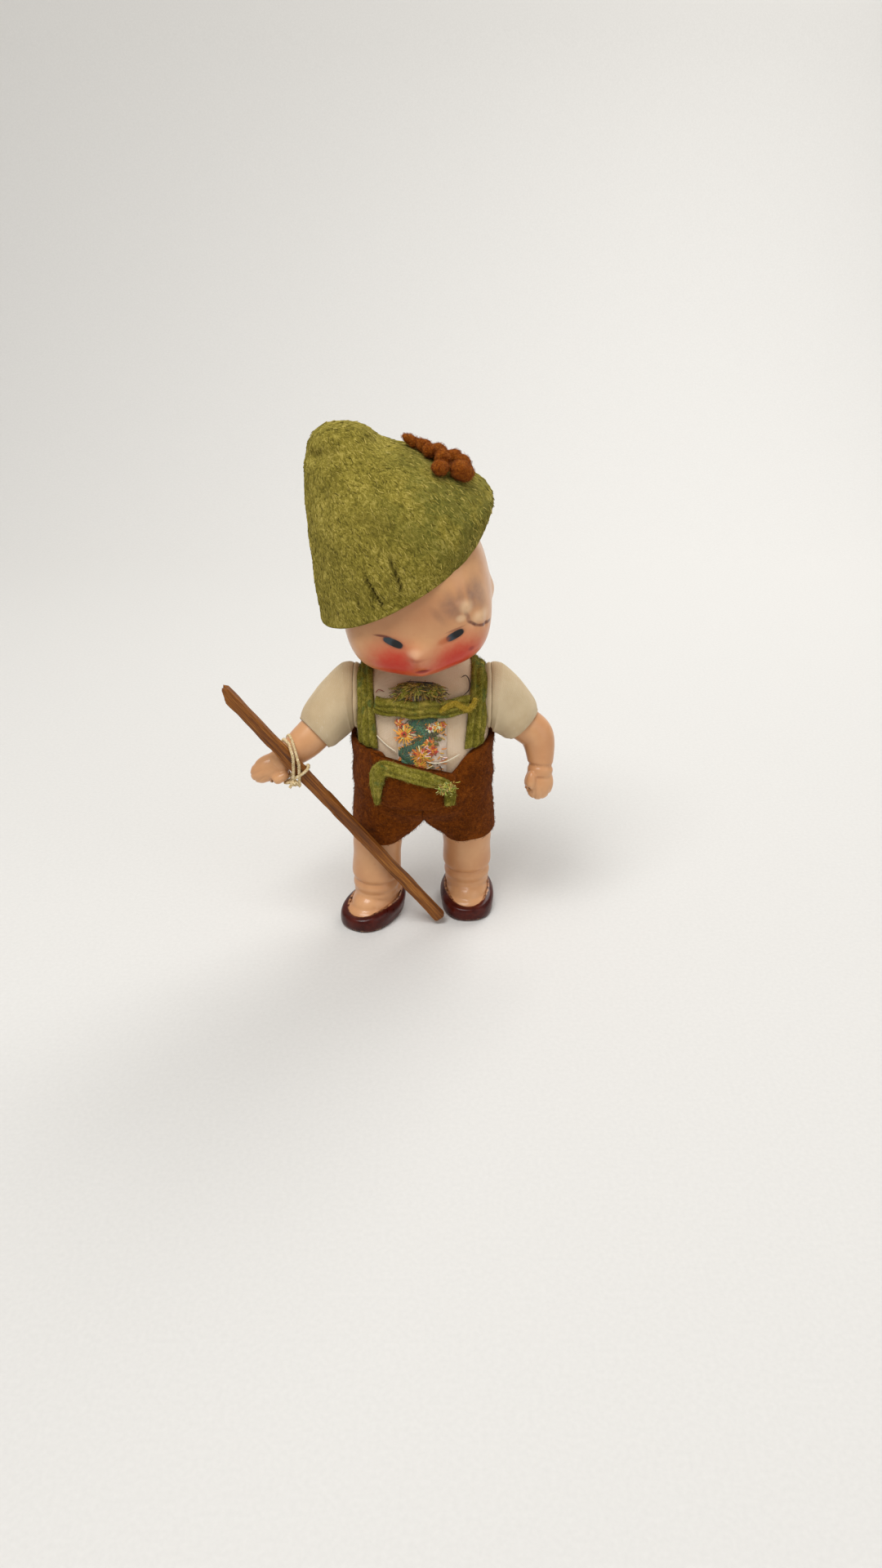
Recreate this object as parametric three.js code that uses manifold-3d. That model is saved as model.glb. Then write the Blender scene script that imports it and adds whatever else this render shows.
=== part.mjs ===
// A small strung costume doll: a painted composition boy in a shirt, felt shorts with braces and a
// pointed felt hat, with a walking stick tied to the right hand. Millimetres, +Z up, facing -Y.
// Left and right are the doll's own: the left side is +X.
import * as THREE from "three";
import { mergeVertices } from "three/addons/utils/BufferGeometryUtils.js";
import Module from "manifold-3d";

const wasm = await Module();
wasm.setup();

// Fits
const GAP = 0.3; // between pieces that lie on, in or against each other
const CORD_PLAY = 0.5; // radial room round a stringing elastic

// Cloth and felt, by thickness
const SHIRT_CLOTH = 0.6;
const SLEEVE_CLOTH = 0.9;
const BRAID_CLOTH = 0.7;
const SHORTS_FELT = 1.5;
const BRACE_FELT = 1.5;
const HAT_FELT = 2.4;

// Torso, from the floor up
const LEG_LENGTH = 44; // sole to hip pivot
const CROTCH_DROP = 8; // hip pivot down to the crotch
const HIP_TO_WAIST = 13;
const WAIST_TO_SHOULDER = 15.5; // up to the shoulder pivot
const SHOULDER_TO_NECK = 11.5;
const HIP_HALF_WIDTH = 18.3;
const HIP_HALF_DEPTH = 15;
const BELLY_HALF_DEPTH = 15.6;
const CHEST_HALF_WIDTH = 18.9;
const CHEST_HALF_DEPTH = 13.8;
const NECK_HALF_WIDTH = 10;
const TORSO_SQUARENESS = 2.3; // exponent of the superellipse sections

// Stringing
const ELASTIC_RADIUS = 0.9;
const KNOT_RADIUS = 2.1;
const CHANNEL_RADIUS = 4.6; // bored down the torso for the head's elastic
const HIP_CORE_HALF_WIDTH = 7.2; // the pelvis between the legs
const HIP_KNOB_RADIUS = 9.4;

// Head
const HEAD_HALF_WIDTH = 21;
const HEAD_HALF_DEPTH = 21;
const HEAD_CROWN = 24; // from its middle up
const HEAD_JAW = 17.3; // from its middle down
const HEAD_SQUARENESS = 2.5;
const HEAD_TILT = 7; // degrees, crown towards the right
const HEAD_SHIFT = 1.6; // the head's middle towards the right
const JAW_CLEARANCE = 2.2; // from the neck rim up to the underside of the head
const NECK_BALL_RADIUS = 8;
const NECK_BUTTON_RADIUS = 5.2;
const NECK_BUTTON_THICK = 2.4;

// Hat
const HAT_SIDE_EASE = 3.3; // room beside the head
const HAT_FRONT_EASE = 0.5; // and before and behind it
const HAT_HEIGHT = 39.5; // from the middle of the brim to the peak
const HAT_LEAN = 16.3; // how far the peak leans to the right of the brim's middle
const HAT_SIDE = 5.6; // the brim's middle to the right of the doll's
const HAT_RISE = 7.2; // the brim's middle above the head's
const HAT_NOD = 9; // degrees, how far the brim dips at the front

// Hat tuft
const TUFT_LOBES = 6;
const TUFT_RADIUS = 2.7; // of its largest lobe

// Arms and hands
const SHOULDER_RADIUS = 6.6;
const UPPER_ARM_RADIUS = 5.4;
const WRIST_RADIUS = 3.7;
const HAND_WIDTH = 8.8;
const HAND_THICK = 6.6;
const ARMHOLE_RADIUS = 11; // the sleeve's wide end

// Each run of an arm as a length, a splay from hanging and a swing forwards in degrees
const LEFT_ARM = { side: 1, upper: [18.5, 47, 6], fore: [9, 8, 18], hand: [9.5, -4, 14], sleeve: 13 };
const RIGHT_ARM = { side: -1, upper: [20, 45, 34], fore: [7.5, 50, 35], hand: [9.5, 54, 24], sleeve: 16 };

// Legs and moulded shoes
const LEG_SPREAD = 13.2; // a hip's middle from the doll's
const LEG_RADIUS = 7.6;
const SHOE_WIDTH = 16.2;
const SHOE_LENGTH = 24.5;
const SHOE_HEIGHT = 7.8;
const HEEL_TO_ANKLE = 10.5; // back of the heel to the ankle's middle
const ANKLE_ABOVE_SHOE = 5.6;

// How far each ankle is set out and forward of its hip, and how far its toes turn out in degrees
const LEFT_LEG = { side: 1, out: 0.4, forward: -2.4, toeOut: 2 };
const RIGHT_LEG = { side: -1, out: 1.6, forward: 4.6, toeOut: 32 };

// Costume
const SHORTS_DROP = 15; // hip pivot down to the hem
const SHORTS_RISE = 17.2; // hip pivot up to the waistband at the sides
const SHORTS_LEG_HALF_WIDTH = 10.2; // outside, at the hem
const SHORTS_LEG_HALF_DEPTH = 10.8;
const SHORTS_LEG_APART = 12.1; // a felt leg's middle from the doll's
const FRONT_DIP = 8; // how far the waistband falls at the front
const SHIRT_TUCK = 3; // shirt tail behind the lowest of the waistband
const BRACE_WIDTH = 5.4;
const BRACE_FROM_MIDDLE = 12.2; // inner edge of a brace at the waist
const BRACE_SPREAD = 1.6; // how much wider apart the braces are at the shoulder
const BRACE_BACK = 4.5; // inner edge of a brace at the waist behind
const CHEST_BAR_WIDTH = 5.4;
const CHEST_BAR_RAISE = 2.6; // its middle above the shoulder pivot
const BRAID_WIDTH = 14.5;
const BOW_HALF_WIDTH = 8;
const FLAP_WIDTH = 24.4;
const FLAP_OFFSET = 2.7; // the fall flap's middle to the right of the doll's
const FLAP_DROP = 16.5;
const FLAP_SLANT = 5.5; // how far its left top corner hangs below the right one
const TRIM_WIDTH = 4.6;

// Stick and tie
const STICK_LENGTH = 101;
const STICK_WIDTH = 3.7;
const STICK_THICK = 3;
const STICK_FOOT = [5.2, -11.8]; // where it stands, x and y
const TIE_CORD_RADIUS = 0.45;
const TIE_TURNS = 2;
const TIE_PITCH = 1.45;
const TIE_EASE = 0.25; // slack of the loops round stick and wrist
const TIE_BEHIND_WRIST = 2.5; // towards the elbow
const TIE_SKEW = 1.4; // how much squarer the loops lie to the forearm than to the stick

// Facets
const TORSO_AROUND = 24;
const TORSO_ALONG = 12;
const HEAD_AROUND = 32;
const HEAD_ALONG = 18;
const HAT_AROUND = 26;
const HAT_ALONG = 12;
const LIMB_AROUND = 14;
const LIMB_ALONG = 9;
const SHOE_AROUND = 20;
const BORE_AROUND = 8;
const LOOP_STEPS = 24;

// Levels and places that follow from the sizes
const hipZ = LEG_LENGTH;
const waistZ = hipZ + HIP_TO_WAIST;
const shoulderZ = waistZ + WAIST_TO_SHOULDER;
const neckZ = shoulderZ + SHOULDER_TO_NECK;
const headZ = neckZ + JAW_CLEARANCE + HEAD_JAW;
const waistbandZ = hipZ + SHORTS_RISE;
const hemZ = hipZ - SHORTS_DROP;
const ankleZ = SHOE_HEIGHT + ANKLE_ABOVE_SHOE;
const farOut = 4 * CHEST_HALF_WIDTH;
const farUp = 2 * neckZ;
const boreRadius = ELASTIC_RADIUS + CORD_PLAY;

// Layers over the body, each from its inner to its outer face
const shirtLayer = [GAP, GAP + SHIRT_CLOTH];
const shortsLayer = layerOver(shirtLayer, SHORTS_FELT);
const braceLayer = layerOver(shirtLayer, BRACE_FELT);
const braidLayer = layerOver(shirtLayer, BRAID_CLOTH);
const barLayer = layerOver(braidLayer, BRACE_FELT);
const flapLayer = layerOver(shortsLayer, SHORTS_FELT);
const trimLayer = layerOver(flapLayer, BRACE_FELT);

// The arm's seat against the torso, and the sleeve's start beside the shirt
const armSeatX = CHEST_HALF_WIDTH + GAP;
const sleeveX = Math.max(CHEST_HALF_WIDTH, HIP_HALF_WIDTH) + shirtLayer[1] + 1.5 * GAP;
const armKnotX = armSeatX + 0.45 * SHOULDER_RADIUS;
const legSeatX = HIP_CORE_HALF_WIDTH + GAP;
const legKnotX = legSeatX + 0.3 * HIP_KNOB_RADIUS;

const paint = {
  skin: finish(0xe2b083, 0.42),
  feltGreen: finish(0x7f8438, 0.95),
  hatGreen: finish(0x8a8840, 0.97),
  feltBrown: finish(0x5e3413, 0.95),
  tuftBrown: finish(0x7a3a12, 0.95),
  cloth: finish(0xd9cdb8, 0.9),
  embroidery: finish(0xc98a35, 0.85),
  wood: finish(0x7a4a1e, 0.65),
  string: finish(0xcdb88a, 0.9),
  elastic: finish(0xe6e0d2, 0.8),
  beech: finish(0xc7a477, 0.7),
};

function finish(color, roughness) {
  return new THREE.MeshStandardMaterial({ color, roughness, metalness: 0 });
}

function layerOver(layer, thickness) {
  return [layer[1] + GAP, layer[1] + GAP + thickness];
}

function at(x, y, z) {
  return new THREE.Vector3(x, y, z);
}

function radians(degrees) {
  return THREE.MathUtils.degToRad(degrees);
}

function range(count, make) {
  return Array.from({ length: count }, (_, i) => make(i));
}

// A sine or cosine squared off towards a superellipse.
function squared(value, exponent) {
  return Math.sign(value) * Math.abs(value) ** (2 / exponent);
}

// A closed surface through rings of points, each end filled with a fan.
function loft(rings) {
  const around = rings[0].length;
  const points = rings.flat();
  const index = [];
  for (let i = 0; i + 1 < rings.length; i++) {
    for (let j = 0; j < around; j++) {
      const a = i * around + j;
      const b = i * around + ((j + 1) % around);
      index.push(a, b, b + around, a, b + around, a + around);
    }
  }
  for (const ring of [0, rings.length - 1]) {
    const middle = points.length;
    points.push(centreOf(rings[ring]));
    for (let j = 0; j < around; j++) {
      const a = ring * around + j;
      const b = ring * around + ((j + 1) % around);
      index.push(middle, ...(ring ? [a, b] : [b, a]));
    }
  }
  return new THREE.BufferGeometry().setFromPoints(points).setIndex(index);
}

function centreOf(ring) {
  const sum = ring.reduce((total, p) => total.add(p), at(0, 0, 0));
  return sum.divideScalar(ring.length);
}

// An ellipse of points about a centre, in the plane of two half-axes.
function ring(centre, first, second, around) {
  return range(around, (j) => {
    const turn = (2 * Math.PI * j) / around;
    return centre.clone().addScaledVector(first, Math.cos(turn)).addScaledVector(second, Math.sin(turn));
  });
}

// A geometry as a solid, its shared vertices merged and its faces turned outwards.
function solid(geometry) {
  const bare = geometry.clone();
  for (const name of ["normal", "uv"]) bare.deleteAttribute(name);
  const merged = mergeVertices(bare, 1e-4);
  const triVerts = Uint32Array.from(merged.index.array);
  const vertProperties = merged.attributes.position.array;
  const made = new wasm.Manifold(new wasm.Mesh({ numProp: 3, vertProperties, triVerts }));
  if (made.volume() > 0) return made;
  return new wasm.Manifold(new wasm.Mesh({ numProp: 3, vertProperties, triVerts: triVerts.reverse() }));
}

function joined(solids) {
  return solids.reduce((all, one) => all.add(one));
}

function cutBy(made, cutters) {
  return cutters.reduce((left, cutter) => left.subtract(cutter), made);
}

function piece(name, made, material) {
  const { vertProperties, triVerts } = made.getMesh();
  const geometry = new THREE.BufferGeometry();
  geometry.setAttribute("position", new THREE.BufferAttribute(vertProperties, 3));
  geometry.setIndex(new THREE.BufferAttribute(triVerts, 1));
  geometry.computeVertexNormals();
  const mesh = new THREE.Mesh(geometry, material);
  mesh.name = name;
  return mesh;
}

// A closed outline of (x, z) points, extruded along Y from front to back.
function slab(outline, front = -farOut, back = farOut) {
  const shape = new THREE.Shape(outline.map(([x, z]) => new THREE.Vector2(x, z)));
  const made = new THREE.ExtrudeGeometry(shape, { depth: back - front, bevelEnabled: false });
  return solid(made.rotateX(Math.PI / 2).translate(0, back, 0));
}

function oblong(left, right, low, high) {
  return [[left, low], [right, low], [right, high], [left, high]];
}

function rod(from, to, radius, around = LIMB_AROUND) {
  const along = to.clone().sub(from);
  const made = new THREE.CylinderGeometry(radius, radius, along.length(), around);
  const turn = new THREE.Quaternion().setFromUnitVectors(at(0, 1, 0), along.clone().normalize());
  return solid(made.applyQuaternion(turn).translate(...from.clone().addScaledVector(along, 0.5)));
}

function crossRod(z, fromX, toX, radius, around = LIMB_AROUND) {
  return rod(at(fromX, 0, z), at(toX, 0, z), radius, around);
}

function ball(centre, radii, around = LIMB_AROUND) {
  const [a, b, c] = Array.isArray(radii) ? radii : [radii, radii, radii];
  return solid(new THREE.SphereGeometry(1, around, around / 2).scale(a, b, c).translate(...centre));
}

// A profile of [distance along, radius] pairs turned about the X axis at a height.
function turnedAboutX(profile, z, around) {
  const points = profile.map(([along, radius]) => new THREE.Vector2(radius, along));
  return solid(new THREE.LatheGeometry(points, around).rotateZ(-Math.PI / 2).translate(0, 0, z));
}

// A round tube through points, with one radius or one for each point.
function tube(points, radii, around) {
  let across = at(0.31, 0.83, 0.46);
  const rings = points.map((point, i) => {
    const before = points[Math.max(i - 1, 0)];
    const after = points[Math.min(i + 1, points.length - 1)];
    const along = after.clone().sub(before).normalize();
    across = across.clone().addScaledVector(along, -across.dot(along)).normalize();
    const radius = Array.isArray(radii) ? radii[i] : radii;
    const other = along.clone().cross(across).multiplyScalar(radius);
    return ring(point, across.clone().multiplyScalar(radius), other, around);
  });
  return solid(loft(rings));
}

// The torso's outer form: superellipse sections along a profile of half-width, half-depth and height.
const torsoProfile = new THREE.CatmullRomCurve3(
  [
    [0.3 * HIP_HALF_WIDTH, 0.5 * HIP_HALF_DEPTH, hipZ - CROTCH_DROP],
    [0.82 * HIP_HALF_WIDTH, 0.86 * HIP_HALF_DEPTH, hipZ - 0.55 * CROTCH_DROP],
    [HIP_HALF_WIDTH, HIP_HALF_DEPTH, hipZ + 0.15 * HIP_TO_WAIST],
    [HIP_HALF_WIDTH, BELLY_HALF_DEPTH, waistZ - 0.2 * HIP_TO_WAIST],
    [CHEST_HALF_WIDTH, CHEST_HALF_DEPTH, shoulderZ - 0.2 * WAIST_TO_SHOULDER],
    [0.97 * CHEST_HALF_WIDTH, 0.84 * CHEST_HALF_DEPTH, shoulderZ + 0.43 * SHOULDER_TO_NECK],
    [0.82 * CHEST_HALF_WIDTH, 0.7 * CHEST_HALF_DEPTH, shoulderZ + 0.72 * SHOULDER_TO_NECK],
    [NECK_HALF_WIDTH, 0.85 * NECK_HALF_WIDTH, neckZ],
  ].map((station) => at(...station)),
  false,
  "centripetal",
);

function torsoPoint(turn, along) {
  const [halfWidth, halfDepth, z] = torsoProfile.getPoint(along);
  const x = halfWidth * squared(Math.cos(turn), TORSO_SQUARENESS);
  return at(x, halfDepth * squared(Math.sin(turn), TORSO_SQUARENESS), z);
}

function torsoNormal(turn, along) {
  const step = 1e-3;
  const around = torsoPoint(turn + step, along).sub(torsoPoint(turn - step, along));
  const upper = torsoPoint(turn, Math.min(along + step, 1));
  return around.cross(upper.sub(torsoPoint(turn, Math.max(along - step, 0)))).normalize();
}

function torsoForm(offset) {
  const rings = range(TORSO_ALONG + 1, (i) =>
    range(TORSO_AROUND, (j) => {
      const turn = (2 * Math.PI * (j + 0.5)) / TORSO_AROUND;
      const along = i / TORSO_ALONG;
      return torsoPoint(turn, along).addScaledVector(torsoNormal(turn, along), offset);
    }),
  );
  return solid(loft(rings));
}

// Cloth that lies on the torso from one offset to another.
function layerOnTorso([inner, outer]) {
  return torsoForm(outer).subtract(torsoForm(inner));
}

const neckBall = at(0, 0, neckZ + 0.42 * NECK_BALL_RADIUS);
const buttonZ = neckBall.z + 0.55 * NECK_BALL_RADIUS;

// The torso, bored for its stringing, with a cup for the neck and a round recess for each hip.
function torso() {
  const recessTop = hipZ + 0.5 * HIP_KNOB_RADIUS;
  const hips = [-1, 1].flatMap((side) => {
    const inner = side * HIP_CORE_HALF_WIDTH;
    const below = slab(oblong(inner, side * farOut, 0, recessTop));
    return [crossRod(hipZ, inner, side * farOut, HIP_KNOB_RADIUS + 1.5 * GAP), below];
  });
  return cutBy(torsoForm(0), [
    rod(at(0, 0, hipZ - 0.45 * CROTCH_DROP), at(0, 0, farUp), CHANNEL_RADIUS, BORE_AROUND),
    crossRod(shoulderZ, -farOut, farOut, boreRadius, BORE_AROUND),
    crossRod(hipZ, -farOut, farOut, boreRadius, BORE_AROUND),
    ball(neckBall, NECK_BALL_RADIUS + 2 * GAP),
    ...hips,
  ]);
}

// An elastic from limb to limb, with a knot in the counterbore of each.
function crossElastic(z, knotFloor) {
  const knotFrom = knotFloor + GAP;
  const half = [
    [knotFrom, ELASTIC_RADIUS],
    [knotFrom + 0.2 * KNOT_RADIUS, 0.8 * KNOT_RADIUS],
    [knotFrom + KNOT_RADIUS, KNOT_RADIUS],
    [knotFrom + 1.7 * KNOT_RADIUS, 0.7 * KNOT_RADIUS],
    [knotFrom + 2 * KNOT_RADIUS, 0],
  ];
  const other = half.map(([along, radius]) => [-along, radius]).reverse();
  return turnedAboutX([...other, ...half], z, BORE_AROUND);
}

// The head's elastic: knotted over the neck button, led past the arms' elastic and looped round the legs'.
function headElastic() {
  const sway = 2 * ELASTIC_RADIUS + CORD_PLAY + GAP;
  const loopRadius = 2 * ELASTIC_RADIUS + CORD_PLAY;
  const knotZ = buttonZ + NECK_BUTTON_THICK + GAP + KNOT_RADIUS;
  const route = new THREE.CatmullRomCurve3([
    at(0, 0, hipZ + loopRadius),
    at(0, 0.3 * sway, hipZ + 0.5 * HIP_TO_WAIST),
    at(0, sway, shoulderZ),
    at(0, 0.2 * sway, neckZ - 0.2 * SHOULDER_TO_NECK),
    at(0, 0, buttonZ),
    at(0, 0, knotZ),
  ]);
  const loop = new THREE.TorusGeometry(loopRadius, ELASTIC_RADIUS, 6, LIMB_AROUND).rotateY(Math.PI / 2);
  return joined([
    tube(route.getPoints(12), ELASTIC_RADIUS, 8),
    ball(at(0, 0, knotZ), KNOT_RADIUS, 10),
    solid(loop.translate(0, 0, hipZ)),
  ]);
}

// The wooden button that the head's elastic pulls down on, inside the neck.
function neckButton() {
  const section = [
    [boreRadius, 0],
    [NECK_BUTTON_RADIUS, 0],
    [NECK_BUTTON_RADIUS, NECK_BUTTON_THICK],
    [boreRadius, NECK_BUTTON_THICK],
    [boreRadius, 0],
  ].map(([radius, z]) => new THREE.Vector2(radius, z));
  const made = new THREE.LatheGeometry(section, LIMB_AROUND).rotateX(Math.PI / 2);
  return solid(made.translate(0, 0, buttonZ));
}

// The swellings and hollows of the head, each a direction, a height and a spread in radians.
const headFeatures = [
  ...[-1, 1].flatMap((side) => [
    { towards: at(0.56 * side, -0.63, -0.54), height: 3.4, spread: 0.42 }, // cheek
    { towards: at(0.4 * side, -0.88, -0.22), height: -0.9, spread: 0.2 }, // eye socket
    { towards: at(0.97 * side, 0.22, -0.1), height: 1.2, spread: 0.17 }, // ear
  ]),
  { towards: at(0, -0.9, -0.43), height: 1.9, spread: 0.12 }, // nose
  { towards: at(0, -0.72, -0.69), height: 4, spread: 0.34 }, // chin
  { towards: at(0.55, -0.8, 0.25), height: 1.1, spread: 0.26 }, // forelock
];

const headPlace = new THREE.Matrix4()
  .makeRotationY(radians(-HEAD_TILT))
  .setPosition(-HEAD_SHIFT, 0, headZ);

// A superellipsoid with a deeper crown than jaw, swelled by the features.
function headRadius(direction) {
  const halfHeight = direction.z > 0 ? HEAD_CROWN : HEAD_JAW;
  const shares = [direction.x / HEAD_HALF_WIDTH, direction.y / HEAD_HALF_DEPTH, direction.z / halfHeight];
  const reach = shares.reduce((sum, share) => sum + Math.abs(share) ** HEAD_SQUARENESS, 0);
  return headFeatures.reduce((radius, { towards, height, spread }) => {
    return radius + height * Math.exp(-((direction.angleTo(towards) / spread) ** 2));
  }, reach ** (-1 / HEAD_SQUARENESS));
}

function headForm(offset) {
  const made = new THREE.SphereGeometry(1, HEAD_AROUND, HEAD_ALONG).rotateX(Math.PI / 2);
  const position = made.getAttribute("position");
  for (let i = 0; i < position.count; i++) {
    const direction = at(0, 0, 0).fromBufferAttribute(position, i).normalize();
    position.setXYZ(i, ...direction.clone().multiplyScalar(headRadius(direction) + offset));
  }
  return solid(made.applyMatrix4(headPlace));
}

function head() {
  const pocketTop = buttonZ + NECK_BUTTON_THICK + 2.4 * KNOT_RADIUS;
  return cutBy(headForm(0).add(ball(neckBall, NECK_BALL_RADIUS)), [
    rod(at(0, 0, hipZ), at(0, 0, buttonZ + GAP), 0.62 * NECK_BUTTON_RADIUS, BORE_AROUND),
    rod(at(0, 0, buttonZ - GAP), at(0, 0, pocketTop), NECK_BUTTON_RADIUS + GAP),
  ]);
}

// The hat's sections from brim to peak: shares of its height, its lean and its width, and a tilt.
const hatStations = [
  { height: 0, lean: 0, width: 0.985, tilt: 29 },
  { height: 0.12, lean: -0.03, width: 1, tilt: 26 },
  { height: 0.27, lean: -0.02, width: 0.99, tilt: 22 },
  { height: 0.5, lean: 0.2, width: 0.86, tilt: 17 },
  { height: 0.68, lean: 0.56, width: 0.64, tilt: 16 },
  { height: 0.82, lean: 0.86, width: 0.44, tilt: 15 },
  { height: 0.93, lean: 0.97, width: 0.31, tilt: 11 },
  { height: 0.985, lean: 1, width: 0.17, tilt: 6 },
  { height: 1, lean: 1, width: 0.05, tilt: 3 },
];
const hatHalfWidth = HEAD_HALF_WIDTH + HAT_SIDE_EASE + HAT_FELT;
const hatHalfDepth = HEAD_HALF_DEPTH + HAT_FRONT_EASE + HAT_FELT;
const hatShape = new THREE.CatmullRomCurve3(
  hatStations.map(({ height, lean, width }) => at(lean * HAT_LEAN, width, height * HAT_HEIGHT)),
);
const hatTilt = new THREE.SplineCurve(hatStations.map(({ tilt }, i) => new THREE.Vector2(i, tilt)));

// A section of the hat at a share of the way up: its middle and its half-axes to the left and front.
function hatSection(share, inset) {
  const [lean, width, height] = hatShape.getPoint(share);
  const tilt = radians(hatTilt.getPoint(share).y);
  const nod = radians(HAT_NOD * (1 - share));
  const left = Math.max(width * hatHalfWidth - inset, 0.4 * width * hatHalfWidth);
  const front = Math.max(width * hatHalfDepth - inset, 0.4 * width * hatHalfDepth);
  return {
    middle: at(-HAT_SIDE - lean, 0, headZ + HAT_RISE + height - share * inset),
    left: at(left * Math.cos(tilt), 0, left * Math.sin(tilt)),
    front: at(0, -front * Math.cos(nod), -front * Math.sin(nod)),
  };
}

function hatForm(inset) {
  const rings = range(HAT_ALONG + 1, (i) => {
    const { middle, left, front } = hatSection(i / HAT_ALONG, inset);
    const upwards = front.clone().cross(left).normalize();
    return ring(i ? middle : middle.addScaledVector(upwards, -0.5 * inset), left, front, HAT_AROUND);
  });
  return solid(loft(rings));
}

function hat() {
  return cutBy(hatForm(0), [hatForm(HAT_FELT), headForm(GAP)]);
}

// The tuft: curled felt lobes laid up the left of the hat towards its peak.
function hatTuft() {
  const lobes = range(TUFT_LOBES, (i) => {
    const share = i / (TUFT_LOBES - 1);
    const { middle, left, front } = hatSection(0.4 + 0.14 * share, -GAP);
    const turn = radians(30 - 16 * share + (i % 2 ? 4 : -4));
    const radius = TUFT_RADIUS * (1 - 0.3 * share);
    const spot = middle.addScaledVector(left, Math.cos(turn)).addScaledVector(front, Math.sin(turn));
    return ball(spot.add(at(0.2 * radius, -0.2 * radius, 0.5 * radius)), [1.3 * radius, radius, radius], 8);
  });
  return joined(lobes).subtract(hatForm(-GAP));
}

function heading(side, [length, splay, swing]) {
  const down = length * Math.cos(radians(splay));
  const out = side * length * Math.sin(radians(splay));
  return at(out, -down * Math.sin(radians(swing)), -down * Math.cos(radians(swing)));
}

function armJoints(arm) {
  const shoulder = at(arm.side * sleeveX, 0, shoulderZ);
  const elbow = shoulder.clone().add(heading(arm.side, arm.upper));
  const wrist = elbow.clone().add(heading(arm.side, arm.fore));
  const fingers = wrist.clone().add(heading(arm.side, arm.hand));
  return { shoulder, elbow, wrist, fingers };
}

// An arm: a flat shoulder seat, a bent limb and a mitten hand, bored and counterbored for the elastic.
function armAndHand(arm) {
  const { shoulder, elbow, wrist, fingers } = armJoints(arm);
  const route = new THREE.CatmullRomCurve3([
    shoulder,
    elbow.clone().lerp(shoulder, 0.35),
    elbow,
    wrist,
    wrist.clone().lerp(fingers, 0.3),
  ]);
  const girths = [SHOULDER_RADIUS, UPPER_ARM_RADIUS, 0.94 * UPPER_ARM_RADIUS, WRIST_RADIUS, WRIST_RADIUS];
  const girth = new THREE.SplineCurve(girths.map((radius, i) => new THREE.Vector2(i, radius)));
  const radii = range(LIMB_ALONG + 1, (i) => girth.getPoint(i / LIMB_ALONG).y);
  const seat = at(arm.side * armSeatX, 0, shoulderZ);
  const capEnd = shoulder.clone().add(at(arm.side * 0.25 * SHOULDER_RADIUS, 0, 0));
  const dome = [0.7 * SHOULDER_RADIUS, SHOULDER_RADIUS, SHOULDER_RADIUS];
  const limb = joined([
    tube(route.getPoints(LIMB_ALONG), radii, LIMB_AROUND),
    ball(capEnd, dome),
    mitten(arm, wrist, fingers),
  ]);
  const seated = limb.subtract(slab(oblong(0, shoulder.x, 0, farUp))).add(rod(seat, capEnd, SHOULDER_RADIUS));
  return cutBy(seated, [
    crossRod(shoulderZ, 0, arm.side * armKnotX, boreRadius, BORE_AROUND),
    crossRod(shoulderZ, arm.side * (armKnotX - 1e-3), arm.side * farOut, KNOT_RADIUS + 1.5 * GAP, BORE_AROUND),
  ]);
}

// A moulded mitten hand with its thumb laid to the front.
function mitten(arm, wrist, fingers) {
  const along = fingers.clone().sub(wrist);
  const length = along.length();
  const place = new THREE.Matrix4()
    .makeRotationFromQuaternion(new THREE.Quaternion().setFromUnitVectors(at(0, 0, -1), along.normalize()))
    .setPosition(wrist.clone().lerp(fingers, 0.56));
  const palm = new THREE.SphereGeometry(1, 12, 8);
  palm.scale(0.5 * HAND_WIDTH, 0.5 * HAND_THICK, 0.56 * length);
  const thumb = new THREE.SphereGeometry(1, 8, 6);
  thumb.scale(0.17 * HAND_WIDTH, 0.2 * HAND_WIDTH, 0.3 * length);
  thumb.translate(-arm.side * 0.3 * HAND_WIDTH, -0.42 * HAND_THICK, 0.1 * length);
  return solid(palm.applyMatrix4(place)).add(solid(thumb.applyMatrix4(place)));
}

// A sleeve: from a full round armhole beside the shirt to a snug end on the upper arm.
function sleeve(arm) {
  const { shoulder, elbow } = armJoints(arm);
  const outwards = at(arm.side, 0, 0);
  const along = elbow.clone().sub(shoulder).normalize();
  const start = shoulder.clone();
  const end = shoulder.clone().addScaledVector(along, arm.sleeve);
  const route = new THREE.QuadraticBezierCurve3(start, at(0.22 * arm.side * arm.sleeve, 0, 0).add(start), end);
  const steps = 5;
  const form = (wide, snug, overrun) => {
    const rings = range(steps + 1, (i) => {
      const share = i / steps;
      const facing = outwards.clone().lerp(along, share ** 1.2).normalize();
      const turn = new THREE.Quaternion().setFromUnitVectors(outwards, facing);
      const puff = Math.min(1, 0.88 + 0.5 * share);
      const radius = puff * wide + (snug - wide) * share ** 1.15;
      const centre = route.getPoint(share);
      if (i === 0) centre.addScaledVector(outwards, -overrun);
      if (i === steps) centre.addScaledVector(along, overrun);
      const first = at(0, radius, 0).applyQuaternion(turn);
      return ring(centre, first, at(0, 0, radius).applyQuaternion(turn), LIMB_AROUND + 2);
    });
    return solid(loft(rings));
  };
  const snug = UPPER_ARM_RADIUS + 2 * GAP;
  const outer = form(ARMHOLE_RADIUS, snug + SLEEVE_CLOTH, 0);
  return outer.subtract(form(ARMHOLE_RADIUS - SLEEVE_CLOTH, snug, 1));
}

function ankleOf(leg) {
  return at(leg.side * (LEG_SPREAD + leg.out), -leg.forward, ankleZ);
}

// The middle of a leg at a height, on the line from hip to ankle.
function legMiddle(leg, z) {
  const share = Math.min((hipZ - z) / (hipZ - ankleZ), 1);
  return at(leg.side * LEG_SPREAD, 0, hipZ).lerp(ankleOf(leg), share).setZ(z);
}

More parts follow.
